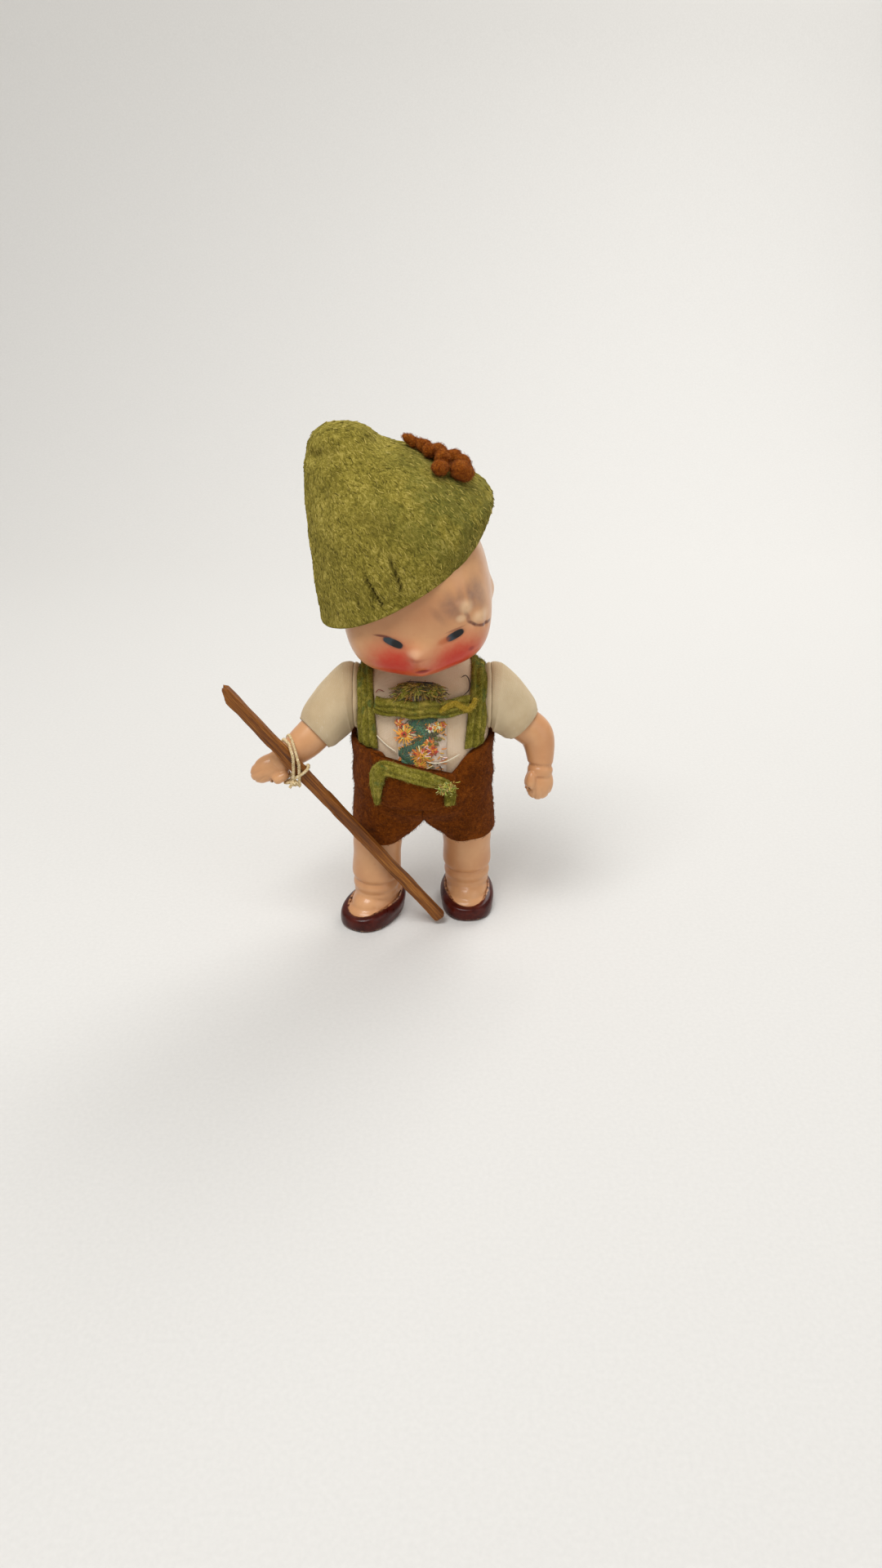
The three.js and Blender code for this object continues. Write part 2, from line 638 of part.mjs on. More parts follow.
// A leg: a hip knob turned about the hip axis, a limb with a creased ankle, and a foot in a moulded shoe.
function legAndFoot(leg) {
  const length = hipZ - ankleZ;
  const knobEnd = HIP_HALF_WIDTH - GAP;
  const knobLength = knobEnd - legSeatX;
  const knob = turnedAboutX(
    [
      [legSeatX, 0],
      [legSeatX, HIP_KNOB_RADIUS],
      [legSeatX + 0.45 * knobLength, HIP_KNOB_RADIUS],
      [legSeatX + 0.8 * knobLength, 0.74 * HIP_KNOB_RADIUS],
      [knobEnd, 0.4 * HIP_KNOB_RADIUS],
      [knobEnd, 0],
    ].map(([x, radius]) => [leg.side * x, radius]),
    hipZ,
    LIMB_AROUND,
  );
  const thigh = LEG_SPREAD - legSeatX;
  const stations = [
    [hipZ - 0.3 * HIP_KNOB_RADIUS, thigh, 0.95],
    [hipZ - 1.15 * HIP_KNOB_RADIUS, thigh, 1.02],
    [ankleZ + 0.42 * length, 0.99 * LEG_RADIUS, 1.03],
    [ankleZ + 0.26 * length, 0.97 * LEG_RADIUS, 0.98],
    [ankleZ + 0.1 * length, 0.98 * LEG_RADIUS, 0.99],
    [ankleZ + 0.035 * length, 0.96 * LEG_RADIUS, 0.97],
    [ankleZ, 0.87 * LEG_RADIUS, 0.88],
    [ankleZ - 0.25 * ANKLE_ABOVE_SHOE, 0.93 * LEG_RADIUS, 0.94],
    [ankleZ - 0.65 * ANKLE_ABOVE_SHOE, 0.92 * LEG_RADIUS, 0.93],
    [0.5 * SHOE_HEIGHT, 0.8 * LEG_RADIUS, 0.85],
  ];
  const rings = stations.map(([z, halfWidth, depth]) =>
    ring(legMiddle(leg, z), at(halfWidth, 0, 0), at(0, depth * LEG_RADIUS, 0), LIMB_AROUND),
  );
  return cutBy(joined([knob, solid(loft(rings)), shoe(leg)]), [
    crossRod(hipZ, 0, leg.side * legKnotX, boreRadius, BORE_AROUND),
    crossRod(hipZ, leg.side * (legKnotX - 1e-3), leg.side * farOut, KNOT_RADIUS + 1.5 * GAP, BORE_AROUND),
  ]);
}

// The moulded shoe: a rounded upper with a low-cut opening whose edge stands proud of the instep.
function shoe(leg) {
  const halfLength = 0.5 * SHOE_LENGTH;
  const middle = HEEL_TO_ANKLE - halfLength;
  const ankle = ankleOf(leg);
  const place = new THREE.Matrix4().makeRotationZ(radians(leg.side * leg.toeOut)).setPosition(ankle.x, ankle.y, 0);
  const outline = ([height, inset]) =>
    range(SHOE_AROUND, (j) => {
      const turn = (2 * Math.PI * j) / SHOE_AROUND;
      const halfWidth = 0.5 * SHOE_WIDTH * (1 - 0.1 * Math.sin(turn)) - inset;
      const x = halfWidth * squared(Math.cos(turn), TORSO_SQUARENESS);
      const y = middle + (halfLength - inset) * squared(Math.sin(turn), TORSO_SQUARENESS);
      return at(x, y, height * SHOE_HEIGHT);
    });
  const upper = loft([[0, 1], [0.12, 0.15], [0.4, 0], [0.7, 0.7], [0.9, 2], [1, 4.2]].map(outline));
  const openWide = 0.41 * SHOE_WIDTH;
  const openLong = 0.4 * SHOE_LENGTH;
  const opening = new THREE.SphereGeometry(1, SHOE_AROUND, SHOE_AROUND / 2);
  opening.scale(openWide, openLong, 0.62 * SHOE_HEIGHT).translate(0, 0, 1.15 * SHOE_HEIGHT);
  const base = ring(at(0, 0, 0.2 * SHOE_HEIGHT), at(0.9 * openWide, 0, 0), at(0, 0.85 * openLong, 0), LIMB_AROUND);
  const dome = [0.45, 0.8, 1.05, 1.25, 1.38].map((height, i) => {
    const share = Math.cos((Math.PI / 2) * (i / 5));
    const centre = at(0, 0.25 * openLong * (1 - share), height * SHOE_HEIGHT);
    return ring(centre, at(0.95 * openWide * share, 0, 0), at(0, 0.92 * openLong * share, 0), LIMB_AROUND);
  });
  return solid(upper.applyMatrix4(place))
    .subtract(solid(opening.applyMatrix4(place)))
    .add(solid(loft([base, ...dome]).applyMatrix4(place)));
}

// The shorts' outer or inner form: the torso with two wide legs, each from hip to hem.
function shortsForm(offset) {
  const inset = shortsLayer[1] - offset;
  const legs = [LEFT_LEG, RIGHT_LEG].map((leg) => {
    const rings = [0, 0.35, 0.7, 1].map((step) => {
      const sway = 0.3 * legMiddle(leg, hipZ - step * SHORTS_DROP).y;
      const centre = at(leg.side * SHORTS_LEG_APART, sway, hipZ - step * SHORTS_DROP);
      const halfWidth = SHORTS_LEG_HALF_WIDTH * (0.85 + 0.15 * step) - inset;
      const halfDepth = SHORTS_LEG_HALF_DEPTH * (1.33 - 0.33 * step) - inset;
      return ring(centre, at(halfWidth, 0, 0), at(0, halfDepth, 0), TORSO_AROUND);
    });
    return solid(loft(rings));
  });
  return joined([torsoForm(offset), ...legs]);
}

// The shorts: two felt halves that meet in a middle seam, each a seat with one leg.
function shortsHalves() {
  const dip = BRACE_FROM_MIDDLE - GAP;
  const lowZ = waistbandZ - FRONT_DIP;
  const front = [
    ...oblong(-farOut, farOut, 0, waistbandZ).slice(0, 3),
    [dip, waistbandZ],
    [0.6 * dip, lowZ],
    [-0.6 * dip, lowZ],
    [-dip, waistbandZ],
    [-farOut, waistbandZ],
  ];
  const extent = slab(front, -farOut, 0).add(slab(oblong(-farOut, farOut, 0, waistbandZ), -GAP, farOut));
  const legBores = [LEFT_LEG, RIGHT_LEG].map((leg) => {
    const past = hemZ - 0.5 * LEG_RADIUS;
    return rod(legMiddle(leg, hipZ - GAP), legMiddle(leg, past), 1.05 * LEG_RADIUS + GAP);
  });
  const felt = shortsForm(shortsLayer[1]).subtract(shortsForm(shortsLayer[0])).intersect(extent);
  const whole = cutBy(felt, legBores);
  return [-1, 1].map((side) => whole.intersect(slab(oblong(side * 0.5 * GAP, side * farOut, 0, farUp))));
}

const collarCut = rod(at(0, 0, waistZ), at(0, 0, farUp), NECK_HALF_WIDTH + GAP);

// The shirt: cloth round the torso from the neck to inside the waistband, open at the neck and arms.
function shirt() {
  const tail = waistbandZ - FRONT_DIP - SHIRT_TUCK;
  const extent = slab(oblong(-farOut, farOut, tail, farUp));
  const armholes = crossRod(shoulderZ, -farOut, farOut, SHOULDER_RADIUS + 2 * GAP);
  return cutBy(layerOnTorso(shirtLayer).intersect(extent), [collarCut, armholes]);
}

// A brace: a felt strip up the front, over the shoulder and down the back towards the middle.
function brace(side) {
  const foot = waistbandZ + GAP;
  const strip = (bottom) =>
    slab(
      [
        [bottom, foot],
        [bottom + BRACE_WIDTH, foot],
        [BRACE_FROM_MIDDLE + BRACE_SPREAD + BRACE_WIDTH, neckZ],
        [BRACE_FROM_MIDDLE + BRACE_SPREAD + BRACE_WIDTH, farUp],
        [BRACE_FROM_MIDDLE + BRACE_SPREAD, farUp],
        [BRACE_FROM_MIDDLE + BRACE_SPREAD, neckZ],
      ].map(([x, z]) => [side * x, z]),
      ...(bottom === BRACE_FROM_MIDDLE ? [-farOut, 0] : [-GAP, farOut]),
    );
  return layerOnTorso(braceLayer).intersect(strip(BRACE_FROM_MIDDLE).add(strip(BRACE_BACK)));
}

function chestBar() {
  const reach = BRACE_FROM_MIDDLE - GAP;
  const low = shoulderZ + CHEST_BAR_RAISE - 0.5 * CHEST_BAR_WIDTH;
  return layerOnTorso(barLayer).intersect(slab(oblong(-reach, reach, low, low + CHEST_BAR_WIDTH), -farOut, 0));
}

// The embroidered braid down the shirt front, from the bow to behind the flap.
function braid() {
  const half = 0.5 * BRAID_WIDTH;
  const low = waistbandZ - FRONT_DIP + GAP;
  const high = shoulderZ + 0.5 * SHOULDER_TO_NECK;
  return layerOnTorso(braidLayer).intersect(slab(oblong(-half, half, low, high), -farOut, 0));
}

// The fall flap, which hangs a little askew, and the felt edging on its sides and top.
const flapTop = waistbandZ - GAP;
const flapRight = -FLAP_OFFSET - 0.5 * FLAP_WIDTH;
const flapLeft = -FLAP_OFFSET + 0.5 * FLAP_WIDTH;
const flapFoot = flapTop - FLAP_DROP;

function flapPanel() {
  const outline = [
    [flapRight, flapFoot],
    [flapLeft, flapFoot],
    [flapLeft, flapTop - FLAP_SLANT],
    [flapRight, flapTop],
  ];
  return layerOnTorso(flapLayer).intersect(slab(outline, -farOut, 0));
}

function flapTrim() {
  const foot = flapFoot + 0.12 * FLAP_DROP;
  const leftTop = flapTop - FLAP_SLANT;
  const outline = [
    [flapRight + GAP, flapFoot + GAP],
    [flapRight + TRIM_WIDTH, flapFoot + GAP],
    [flapRight + TRIM_WIDTH, flapTop - 1.5 * TRIM_WIDTH],
    [flapLeft - 0.8 * TRIM_WIDTH, leftTop - 1.1 * TRIM_WIDTH],
    [flapLeft - 0.8 * TRIM_WIDTH, foot],
    [flapLeft - GAP, foot],
    [flapLeft - GAP, leftTop],
    [flapRight + 0.5 * TRIM_WIDTH, flapTop - GAP],
    [flapRight + GAP, flapTop - 0.5 * TRIM_WIDTH],
  ];
  return layerOnTorso(trimLayer).intersect(slab(outline, -farOut, 0));
}

// The neck bow: two felt loops and a knot on the shirt just under the chin.
function neckBow() {
  const z = shoulderZ + 0.66 * SHOULDER_TO_NECK;
  const depth = 0.9 * CHEST_HALF_DEPTH;
  const loops = [-1, 1].map((side) =>
    ball(at(side * 0.55 * BOW_HALF_WIDTH, -depth, z), [0.46 * BOW_HALF_WIDTH, 2.6, 2], 10),
  );
  const knot = ball(at(0, -depth - 0.8, z), [0.24 * BOW_HALF_WIDTH, 2.8, 1.9], 8);
  return joined([...loops, knot]).subtract(torsoForm(braidLayer[1] + GAP));
}

// The stick's line, from the floor by the left shoe to the front of the right wrist.
function stickLine() {
  const { wrist } = armJoints(RIGHT_ARM);
  const standOff = WRIST_RADIUS + 3 * GAP + 0.5 * STICK_THICK;
  const foot = at(...STICK_FOOT, GAP + 0.5 * STICK_WIDTH);
  const held = wrist.clone().add(at(0.35, -0.85, 0.4).multiplyScalar(standOff));
  const along = held.clone().sub(foot).normalize();
  const facing = at(0, -1, 0).addScaledVector(along, along.y).normalize();
  return { foot, held, along, facing, across: along.clone().cross(facing) };
}

// A split-wood stick: a flat bar with a slanted top.
function stick() {
  const { foot, along, facing, across } = stickLine();
  const place = new THREE.Matrix4().makeBasis(across, along, facing.clone().negate());
  const half = 0.5 * STICK_WIDTH;
  const shape = new THREE.Shape(
    [
      [-half, 0],
      [half, 0],
      [half, STICK_LENGTH - 0.3 * STICK_WIDTH],
      [0.3 * half, STICK_LENGTH],
      [-half, STICK_LENGTH - 1.1 * STICK_WIDTH],
    ].map(([x, y]) => new THREE.Vector2(x, y)),
  );
  const bevel = 0.12 * STICK_THICK;
  const made = new THREE.ExtrudeGeometry(shape, {
    depth: STICK_THICK - 2 * bevel,
    bevelThickness: bevel,
    bevelSize: bevel,
    bevelOffset: -bevel,
    bevelSegments: 1,
  });
  return solid(made.translate(0, 0, bevel - 0.5 * STICK_THICK).applyMatrix4(place.setPosition(foot)));
}

// The outermost point of a round bar's skew section, in a plane across an axis.
function outermost({ base, run, radius }, axis, outwards, shift) {
  const centre = base.clone().addScaledVector(run, shift / run.dot(axis));
  const slope = run.clone().addScaledVector(axis, -run.dot(axis)).normalize();
  const stretch = 1 / run.dot(axis) ** 2 - 1;
  const weighted = outwards.clone().addScaledVector(slope, stretch * outwards.dot(slope));
  return centre.addScaledVector(weighted, radius / Math.sqrt(weighted.dot(outwards)));
}

// The string that lashes stick and wrist together, drawn round both in a skew winding.
function stickTie() {
  const { held, along, facing, across } = stickLine();
  const { elbow, wrist } = armJoints(RIGHT_ARM);
  const forearm = wrist.clone().sub(elbow).normalize();
  const lashed = wrist.clone().addScaledVector(forearm, -TIE_BEHIND_WRIST);
  const axis = forearm.clone().multiplyScalar(TIE_SKEW).add(along).normalize();
  const front = facing.clone().addScaledVector(axis, -facing.dot(axis)).normalize();
  const up = axis.clone().cross(front);
  const room = GAP + TIE_CORD_RADIUS + TIE_EASE;
  const edges = [-0.5, 0.5].flatMap((u) => [-0.5, 0.5].map((v) => {
    const edge = held.clone().addScaledVector(across, u * STICK_WIDTH).addScaledVector(facing, v * STICK_THICK);
    const level = edge.clone().sub(lashed).dot(axis) / -along.dot(axis);
    return { base: edge.addScaledVector(along, level), run: along, radius: room };
  }));
  const bars = [{ base: lashed, run: forearm, radius: 1.35 * WRIST_RADIUS + room }, ...edges];
  const points = range(LOOP_STEPS * TIE_TURNS + 1, (i) => {
    const turn = (2 * Math.PI * i) / LOOP_STEPS;
    const outwards = front.clone().multiplyScalar(Math.cos(turn)).addScaledVector(up, Math.sin(turn));
    const shift = TIE_PITCH * (i / LOOP_STEPS - 0.5 * TIE_TURNS);
    const touched = bars.map((bar) => outermost(bar, axis, outwards, shift));
    return touched.reduce((far, one) => (one.dot(outwards) > far.dot(outwards) ? one : far));
  });
  const clear = leastGap(points, 2 * TIE_CORD_RADIUS, LOOP_STEPS / 2);
  console.log("stick tie: least gap to itself " + clear.toFixed(2) + " mm");
  return tube(points, TIE_CORD_RADIUS, 6);
}

function leastGap(points, diameter, apart) {
  const gaps = points.flatMap((p, i) => points.slice(i + apart).map((q) => p.distanceTo(q) - diameter));
  return Math.min(...gaps);
}

const [shortsRight, shortsLeft] = shortsHalves();
const doll = new THREE.Group();
doll.add(
  piece("torso", torso(), paint.skin),
  piece("arm_elastic", crossElastic(shoulderZ, armKnotX), paint.elastic),
  piece("leg_elastic", crossElastic(hipZ, legKnotX), paint.elastic),
  piece("head_elastic", headElastic(), paint.elastic),
  piece("shirt", shirt(), paint.cloth),
  piece("embroidered_braid", braid(), paint.embroidery),
  piece("neck_bow", neckBow(), paint.feltGreen),
  piece("shorts_left_half", shortsLeft, paint.feltBrown),
  piece("shorts_right_half", shortsRight, paint.feltBrown),
  piece("flap_panel", flapPanel(), paint.feltBrown),
  piece("flap_trim", flapTrim(), paint.feltGreen),
  piece("brace_left", brace(1), paint.feltGreen),
  piece("brace_right", brace(-1), paint.feltGreen),
  piece("chest_bar", chestBar(), paint.feltGreen),
  piece("head", head(), paint.skin),
  piece("neck_button", neckButton(), paint.beech),
  piece("hat", hat(), paint.hatGreen),
  piece("hat_tuft", hatTuft(), paint.tuftBrown),
  piece("arm_left", armAndHand(LEFT_ARM), paint.skin),
  piece("sleeve_left", sleeve(LEFT_ARM), paint.cloth),
  piece("arm_right", armAndHand(RIGHT_ARM), paint.skin),
  piece("sleeve_right", sleeve(RIGHT_ARM), paint.cloth),
  piece("walking_stick", stick(), paint.wood),
  piece("stick_tie", stickTie(), paint.string),
  piece("leg_left", legAndFoot(LEFT_LEG), paint.skin),
  piece("leg_right", legAndFoot(RIGHT_LEG), paint.skin),
);

// The origin is on the floor under the middle of the whole outline.
const outline = new THREE.Box3().setFromObject(doll);
const middle = outline.getCenter(at(0, 0, 0));
doll.position.set(-middle.x, -middle.y, -outline.min.z);
const part = new THREE.Group();
part.add(doll);

export default part;
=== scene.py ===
import math
import bpy
import numpy as np
from mathutils import Matrix, Vector, noise


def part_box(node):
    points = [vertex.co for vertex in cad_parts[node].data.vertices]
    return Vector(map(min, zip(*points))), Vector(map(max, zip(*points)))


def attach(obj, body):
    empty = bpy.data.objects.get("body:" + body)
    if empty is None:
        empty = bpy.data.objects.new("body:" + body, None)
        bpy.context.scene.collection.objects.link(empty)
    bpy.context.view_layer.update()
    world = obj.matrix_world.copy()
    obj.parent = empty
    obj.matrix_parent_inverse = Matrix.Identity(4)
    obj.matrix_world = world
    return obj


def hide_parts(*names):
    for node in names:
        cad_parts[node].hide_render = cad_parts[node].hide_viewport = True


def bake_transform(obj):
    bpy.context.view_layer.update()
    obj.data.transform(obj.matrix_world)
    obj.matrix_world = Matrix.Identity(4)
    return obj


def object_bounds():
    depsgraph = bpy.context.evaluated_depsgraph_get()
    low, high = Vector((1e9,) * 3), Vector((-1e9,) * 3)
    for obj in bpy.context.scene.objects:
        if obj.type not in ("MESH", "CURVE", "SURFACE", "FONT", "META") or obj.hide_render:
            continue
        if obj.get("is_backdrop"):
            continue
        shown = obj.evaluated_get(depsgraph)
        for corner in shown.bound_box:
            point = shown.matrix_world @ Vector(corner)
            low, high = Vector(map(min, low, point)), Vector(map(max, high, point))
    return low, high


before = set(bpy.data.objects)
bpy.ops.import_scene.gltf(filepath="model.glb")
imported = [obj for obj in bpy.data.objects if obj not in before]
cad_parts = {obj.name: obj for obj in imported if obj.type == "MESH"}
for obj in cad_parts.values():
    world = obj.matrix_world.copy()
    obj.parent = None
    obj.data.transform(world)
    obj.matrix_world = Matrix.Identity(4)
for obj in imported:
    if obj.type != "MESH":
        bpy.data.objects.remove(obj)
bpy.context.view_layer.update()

scene = bpy.context.scene
scene.view_settings.view_transform = "Standard"
mm = 0.001
torsoLow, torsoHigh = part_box("torso")
dollX = 0.5 * (torsoLow.x + torsoHigh.x)  # the doll's middle, which all sizes below are measured from
print("frame loaded, doll's middle at x", round(dollX, 5))


def inFrame(points):  # millimetres about the doll's middle to metres in the shared frame
    return np.asarray(points, float).reshape(-1, 3) * mm + np.array([dollX, 0, 0])


def unit(v):
    v = np.asarray(v, float)
    return v / np.maximum(np.linalg.norm(v, axis=-1, keepdims=True), 1e-12)


def smoothStep(a, b, v):
    t = np.clip((np.asarray(v, float) - a) / (b - a), 0, 1)
    return t * t * (3 - 2 * t)


def spline(points, shares):  # centripetal, through every point
    pts = np.asarray(points, float)
    last = len(pts) - 1
    out = []
    for share in np.atleast_1d(shares):
        k = min(int(share * last), last - 1)
        w = share * last - k
        p1, p2 = pts[k], pts[k + 1]
        p0 = pts[k - 1] if k else 2 * p1 - p2
        p3 = pts[k + 2] if k + 2 <= last else 2 * p2 - p1
        d0, d1, d2 = (max(np.sum((b - a) ** 2), 1e-9) ** 0.25 for a, b in ((p0, p1), (p1, p2), (p2, p3)))
        t1 = ((p1 - p0) / d0 - (p2 - p0) / (d0 + d1) + (p2 - p1) / d1) * d1
        t2 = ((p2 - p1) / d1 - (p3 - p1) / (d1 + d2) + (p3 - p2) / d2) * d1
        out.append(p1 + w * t1 + w * w * (3 * (p2 - p1) - 2 * t1 - t2) + w ** 3 * (2 * (p1 - p2) + t1 + t2))
    return np.array(out)


def evenly(line, count):  # the same line with evenly spaced points
    line = np.asarray(line, float)
    run = np.concatenate([[0], np.cumsum(np.linalg.norm(np.diff(line, axis=0), axis=1))])
    return np.stack([np.interp(np.linspace(0, run[-1], count), run, line[:, k]) for k in range(line.shape[1])], 1)


def ripple(points, size, seed=0.0):  # smooth noise from about -1 to 1, with swells of a size in mm
    shift = Vector((seed, 1.7 * seed, -seed))
    flat = np.asarray(points, float).reshape(-1, 3) / size
    return np.array([noise.noise(Vector(p) + shift) for p in flat]).reshape(np.shape(points)[:-1])


def fullTurn(count):  # evenly spaced angles, the last one a step short of the first
    return np.linspace(0, 2 * math.pi, count, endpoint=False)


def gridNormals(grid, closed=False):
    wrap = np.concatenate([grid[:, -1:], grid, grid[:, :1]], 1) if closed else grid
    across = np.gradient(wrap, axis=1)[:, 1:-1] if closed else np.gradient(wrap, axis=1)
    return unit(np.cross(across, np.gradient(grid, axis=0)))


def signedVolume(points, faces):
    p = np.asarray(points)
    fans = np.array([(f[0], f[k], f[k + 1]) for f in faces for k in range(1, len(f) - 1)])
    return np.sum(p[fans[:, 0]] * np.cross(p[fans[:, 1]], p[fans[:, 2]]))


def keep(name, mesh, finish=None):
    if finish is not None:
        mesh.materials.clear()
        mesh.materials.append(finish)
    mesh.polygons.foreach_set("use_smooth", [True] * len(mesh.polygons))
    obj = bpy.data.objects.new(name, mesh)
    scene.collection.objects.link(obj)
    return obj


def make(name, points, faces, finish=None, uv=None, form=None):
    mesh = bpy.data.meshes.new(name)
    mesh.from_pydata(inFrame(points).tolist(), [], faces)
    if uv is not None:
        mesh.uv_layers.new(name="weave").data.foreach_set("uv", np.asarray(uv, np.float32).ravel())
    if form is not None:
        own = mesh.attributes.new("form", "FLOAT_VECTOR", "POINT")
        own.data.foreach_set("vector", np.asarray(form, np.float32).ravel())
    mesh.update()
    return keep(name, mesh, finish)


def lofted(rings, closedAlong=False, skip=None):  # points, faces and corner UVs in mm of a skin over rings
    rings = np.asarray(rings, float)
    n, m = rings.shape[:2]
    run = np.concatenate([[0], np.cumsum(np.linalg.norm(np.diff(rings, axis=0), axis=2).mean(1))])
    run = np.append(run, run[-1] + np.linalg.norm(rings[0] - rings[-1], axis=1).mean())
    girth = np.linalg.norm(rings - np.roll(rings, -1, 1), axis=2).sum(1).mean()
    points, faces, uv = rings.reshape(-1, 3).tolist(), [], []
    for i in range(n if closedAlong else n - 1):
        for j in range(m):
            if skip is not None and skip(i, j):
                continue
            corners = ((i, j), (i, j + 1), (i + 1, j + 1), (i + 1, j))
            faces.append([(a % n) * m + b % m for a, b in corners])
            uv.extend((b / m * girth, run[a]) for a, b in corners)
    return points, faces, uv, run, girth


def capEnds(points, faces, n, m, form=None):  # a fan over the first and the last of n rings of m points
    for first in (0, (n - 1) * m):
        middle = len(points)
        for rows in (points,) if form is None else (points, form):
            rows.append(np.mean(rows[first:first + m], axis=0).tolist())
        for j in range(m):
            a, b = first + j, first + (j + 1) % m
            faces.append([middle, a, b] if first else [middle, b, a])


def closedLoft(name, rings, finish=None, closedAlong=False, form=None):
    points, faces, uv, run, girth = lofted(rings, closedAlong)
    n, m = np.shape(rings)[:2]
    form = None if form is None else np.asarray(form, float).reshape(-1, 3).tolist()
    if not closedAlong:
        capEnds(points, faces, n, m, form)
        uv.extend([(0.5 * girth, run[0])] * (6 * m))
    if signedVolume(points, faces) < 0:
        turned = []
        at = 0
        for f in faces:
            turned.extend(uv[at:at + len(f)][::-1])
            at += len(f)
        faces, uv = [f[::-1] for f in faces], turned
    return make(name, points, faces, finish, uv, form)


def plain(name, obj, finish=None):  # an object with its modifiers as a plain mesh of its own
    graph = bpy.context.evaluated_depsgraph_get()
    mesh = bpy.data.meshes.new_from_object(obj.evaluated_get(graph))
    bpy.data.objects.remove(obj)
    return keep(name, mesh, finish)


def felted(name, points, faces, thick, finish, uv=None):  # an open skin as a sheet with thickness inwards
    sheet = make(name + "_skin", points, faces, finish, uv)
    wall = sheet.modifiers.new("wall", "SOLIDIFY")
    wall.thickness, wall.offset, wall.use_rim = thick * mm, -1, True
    soft = sheet.modifiers.new("soft", "SUBSURF")
    soft.levels = soft.render_levels = 1
    return plain(name, sheet, finish)


def together(shapes):  # several shapes as one list of points and faces
    points, faces = [], []
    for p, f in shapes:
        base = len(points)
        points.extend(np.asarray(p).tolist())
        faces.extend([[base + k for k in one] for one in f])
    return points, faces


def moulded(name, shapes, voxel, passes, finish=None):  # closed shapes melted into one casting
    cast = make(name + "_cast", *together(shapes), finish)
    melt = cast.modifiers.new("melt", "REMESH")
    melt.mode, melt.voxel_size = "VOXEL", voxel * mm
    ease = cast.modifiers.new("ease", "SMOOTH")
    ease.factor, ease.iterations = 0.5, passes
    return plain(name, cast, finish)


def shapeOf(rings):  # a closed loft as points and faces
    points, faces = lofted(rings)[:2]
    capEnds(points, faces, *np.shape(rings)[:2])
    if signedVolume(points, faces) < 0:
        faces = [f[::-1] for f in faces]
    return points, faces


def lumpShape(centre, radii, turn=None, around=32):  # a closed egg as points and faces
    rings = []
    for t in np.linspace(0.02, math.pi - 0.02, around // 2 + 1):
        a = fullTurn(around)
        rings.append(np.stack([np.sin(t) * np.cos(a), np.sin(t) * np.sin(a), np.full_like(a, -np.cos(t))], 1) * radii)
    rings = np.array(rings)
    return shapeOf((rings if turn is None else rings @ np.asarray(turn).T) + np.asarray(centre))


def tubeRings(line, radii, around=24):
    line = np.asarray(line, float)
    tangents = unit(np.gradient(line, axis=0))
    across, rings = np.array([0.31, 0.83, 0.46]), []  # a direction that no line here follows
    angles = fullTurn(around)
    for p, t, r in zip(line, tangents, np.broadcast_to(radii, len(line))):
        across = unit(across - t * np.dot(across, t))
        other = np.cross(t, across)
        rings.append(p + r * (np.cos(angles)[:, None] * across + np.sin(angles)[:, None] * other))
    return np.array(rings)


def carve(obj, *cutters):  # bores through a casting
    for cutter in cutters:
        cut = obj.modifiers.new("bore", "BOOLEAN")
        cut.object, cut.operation, cut.solver = cutter, "DIFFERENCE", "EXACT"
    name, finish = obj.name, obj.data.materials[0]
    obj.name = name + "_uncut"
    cast = plain(name, obj, finish)
    for cutter in cutters:
        bpy.data.objects.remove(cutter)
    return cast


def rod(start, end, radius):
    return make("bore", *shapeOf(tubeRings(np.linspace(start, end, 3), radius)))


def bored(side, z, elastic, knot):  # cutters from one X to another: for a cord of elastic, and wider for its knot
    bores = ((elastic, 1.4), (knot, 2.55))
    return [rod((side * a, 0, z), (side * b, 0, z), radius) for (a, b), radius in bores]


# One wire of a node tree: sums on values, and any other node through node()
class Wire:
    def __init__(self, tree, socket=None):
        self.tree, self.socket = tree, socket

    def node(self, kind, settings, links, out=0):
        made = self.tree.nodes.new(kind)
        for key, value in settings.items():
            if key == "stops":
                stops = made.color_ramp.elements
                for k, (place, colour) in enumerate(value):
                    stop = stops[k] if k < 2 else stops.new(place)
                    stop.position, stop.color = place, (*colour, 1)
            else:
                setattr(made, key, value)
        for key, value in links.items():
            if isinstance(value, Wire):
                self.tree.links.new(value.socket, made.inputs[key])
            else:
                made.inputs[key].default_value = value
        return Wire(self.tree, made.outputs[out])

    def sum(self, operation, *values):
        return self.node("ShaderNodeMath", {"operation": operation}, dict(enumerate(values)))

    def __add__(self, other):
        return self.sum("ADD", self, other)

    def __sub__(self, other):
        return self.sum("SUBTRACT", self, other)

    def __rsub__(self, other):
        return self.sum("SUBTRACT", other, self)

    def __mul__(self, other):
        return self.sum("MULTIPLY", self, other)

    def __truediv__(self, other):
        return self.sum("DIVIDE", self, other)

    def __pow__(self, other):
        return self.sum("POWER", self, other)

    __radd__, __rmul__ = __add__, __mul__


def tone(r, g, b):  # a screen colour as the renderer's own
    return tuple(((c / 255 + 0.055) / 1.055) ** 2.4 if c > 10 else c / 3294.6 for c in (r, g, b))


def rgba(colour):
    return colour if isinstance(colour, Wire) else (*colour, 1)


def mixed(factor, first, second):
    root = next(w for w in (factor, first, second) if isinstance(w, Wire))
    settings = {"data_type": "RGBA", "blend_type": "MIX", "clamp_factor": True}
    return root.node("ShaderNodeMix", settings, {0: factor, 6: rgba(first), 7: rgba(second)}, 2)


def ramped(value, stops):
    return value.node("ShaderNodeValToRGB", {"stops": stops}, {0: value})


def between(value, a, b):  # 0 at a, 1 at b, eased
    return value.node("ShaderNodeMapRange", {"interpolation_type": "SMOOTHSTEP"}, {0: value, 1: a, 2: b})


def speckle(place, scale, detail=3.0, roughness=0.55, distortion=0.0):
    return place.node("ShaderNodeTexNoise", {}, {
        "Vector": place, "Scale": scale, "Detail": detail, "Roughness": roughness, "Distortion": distortion})


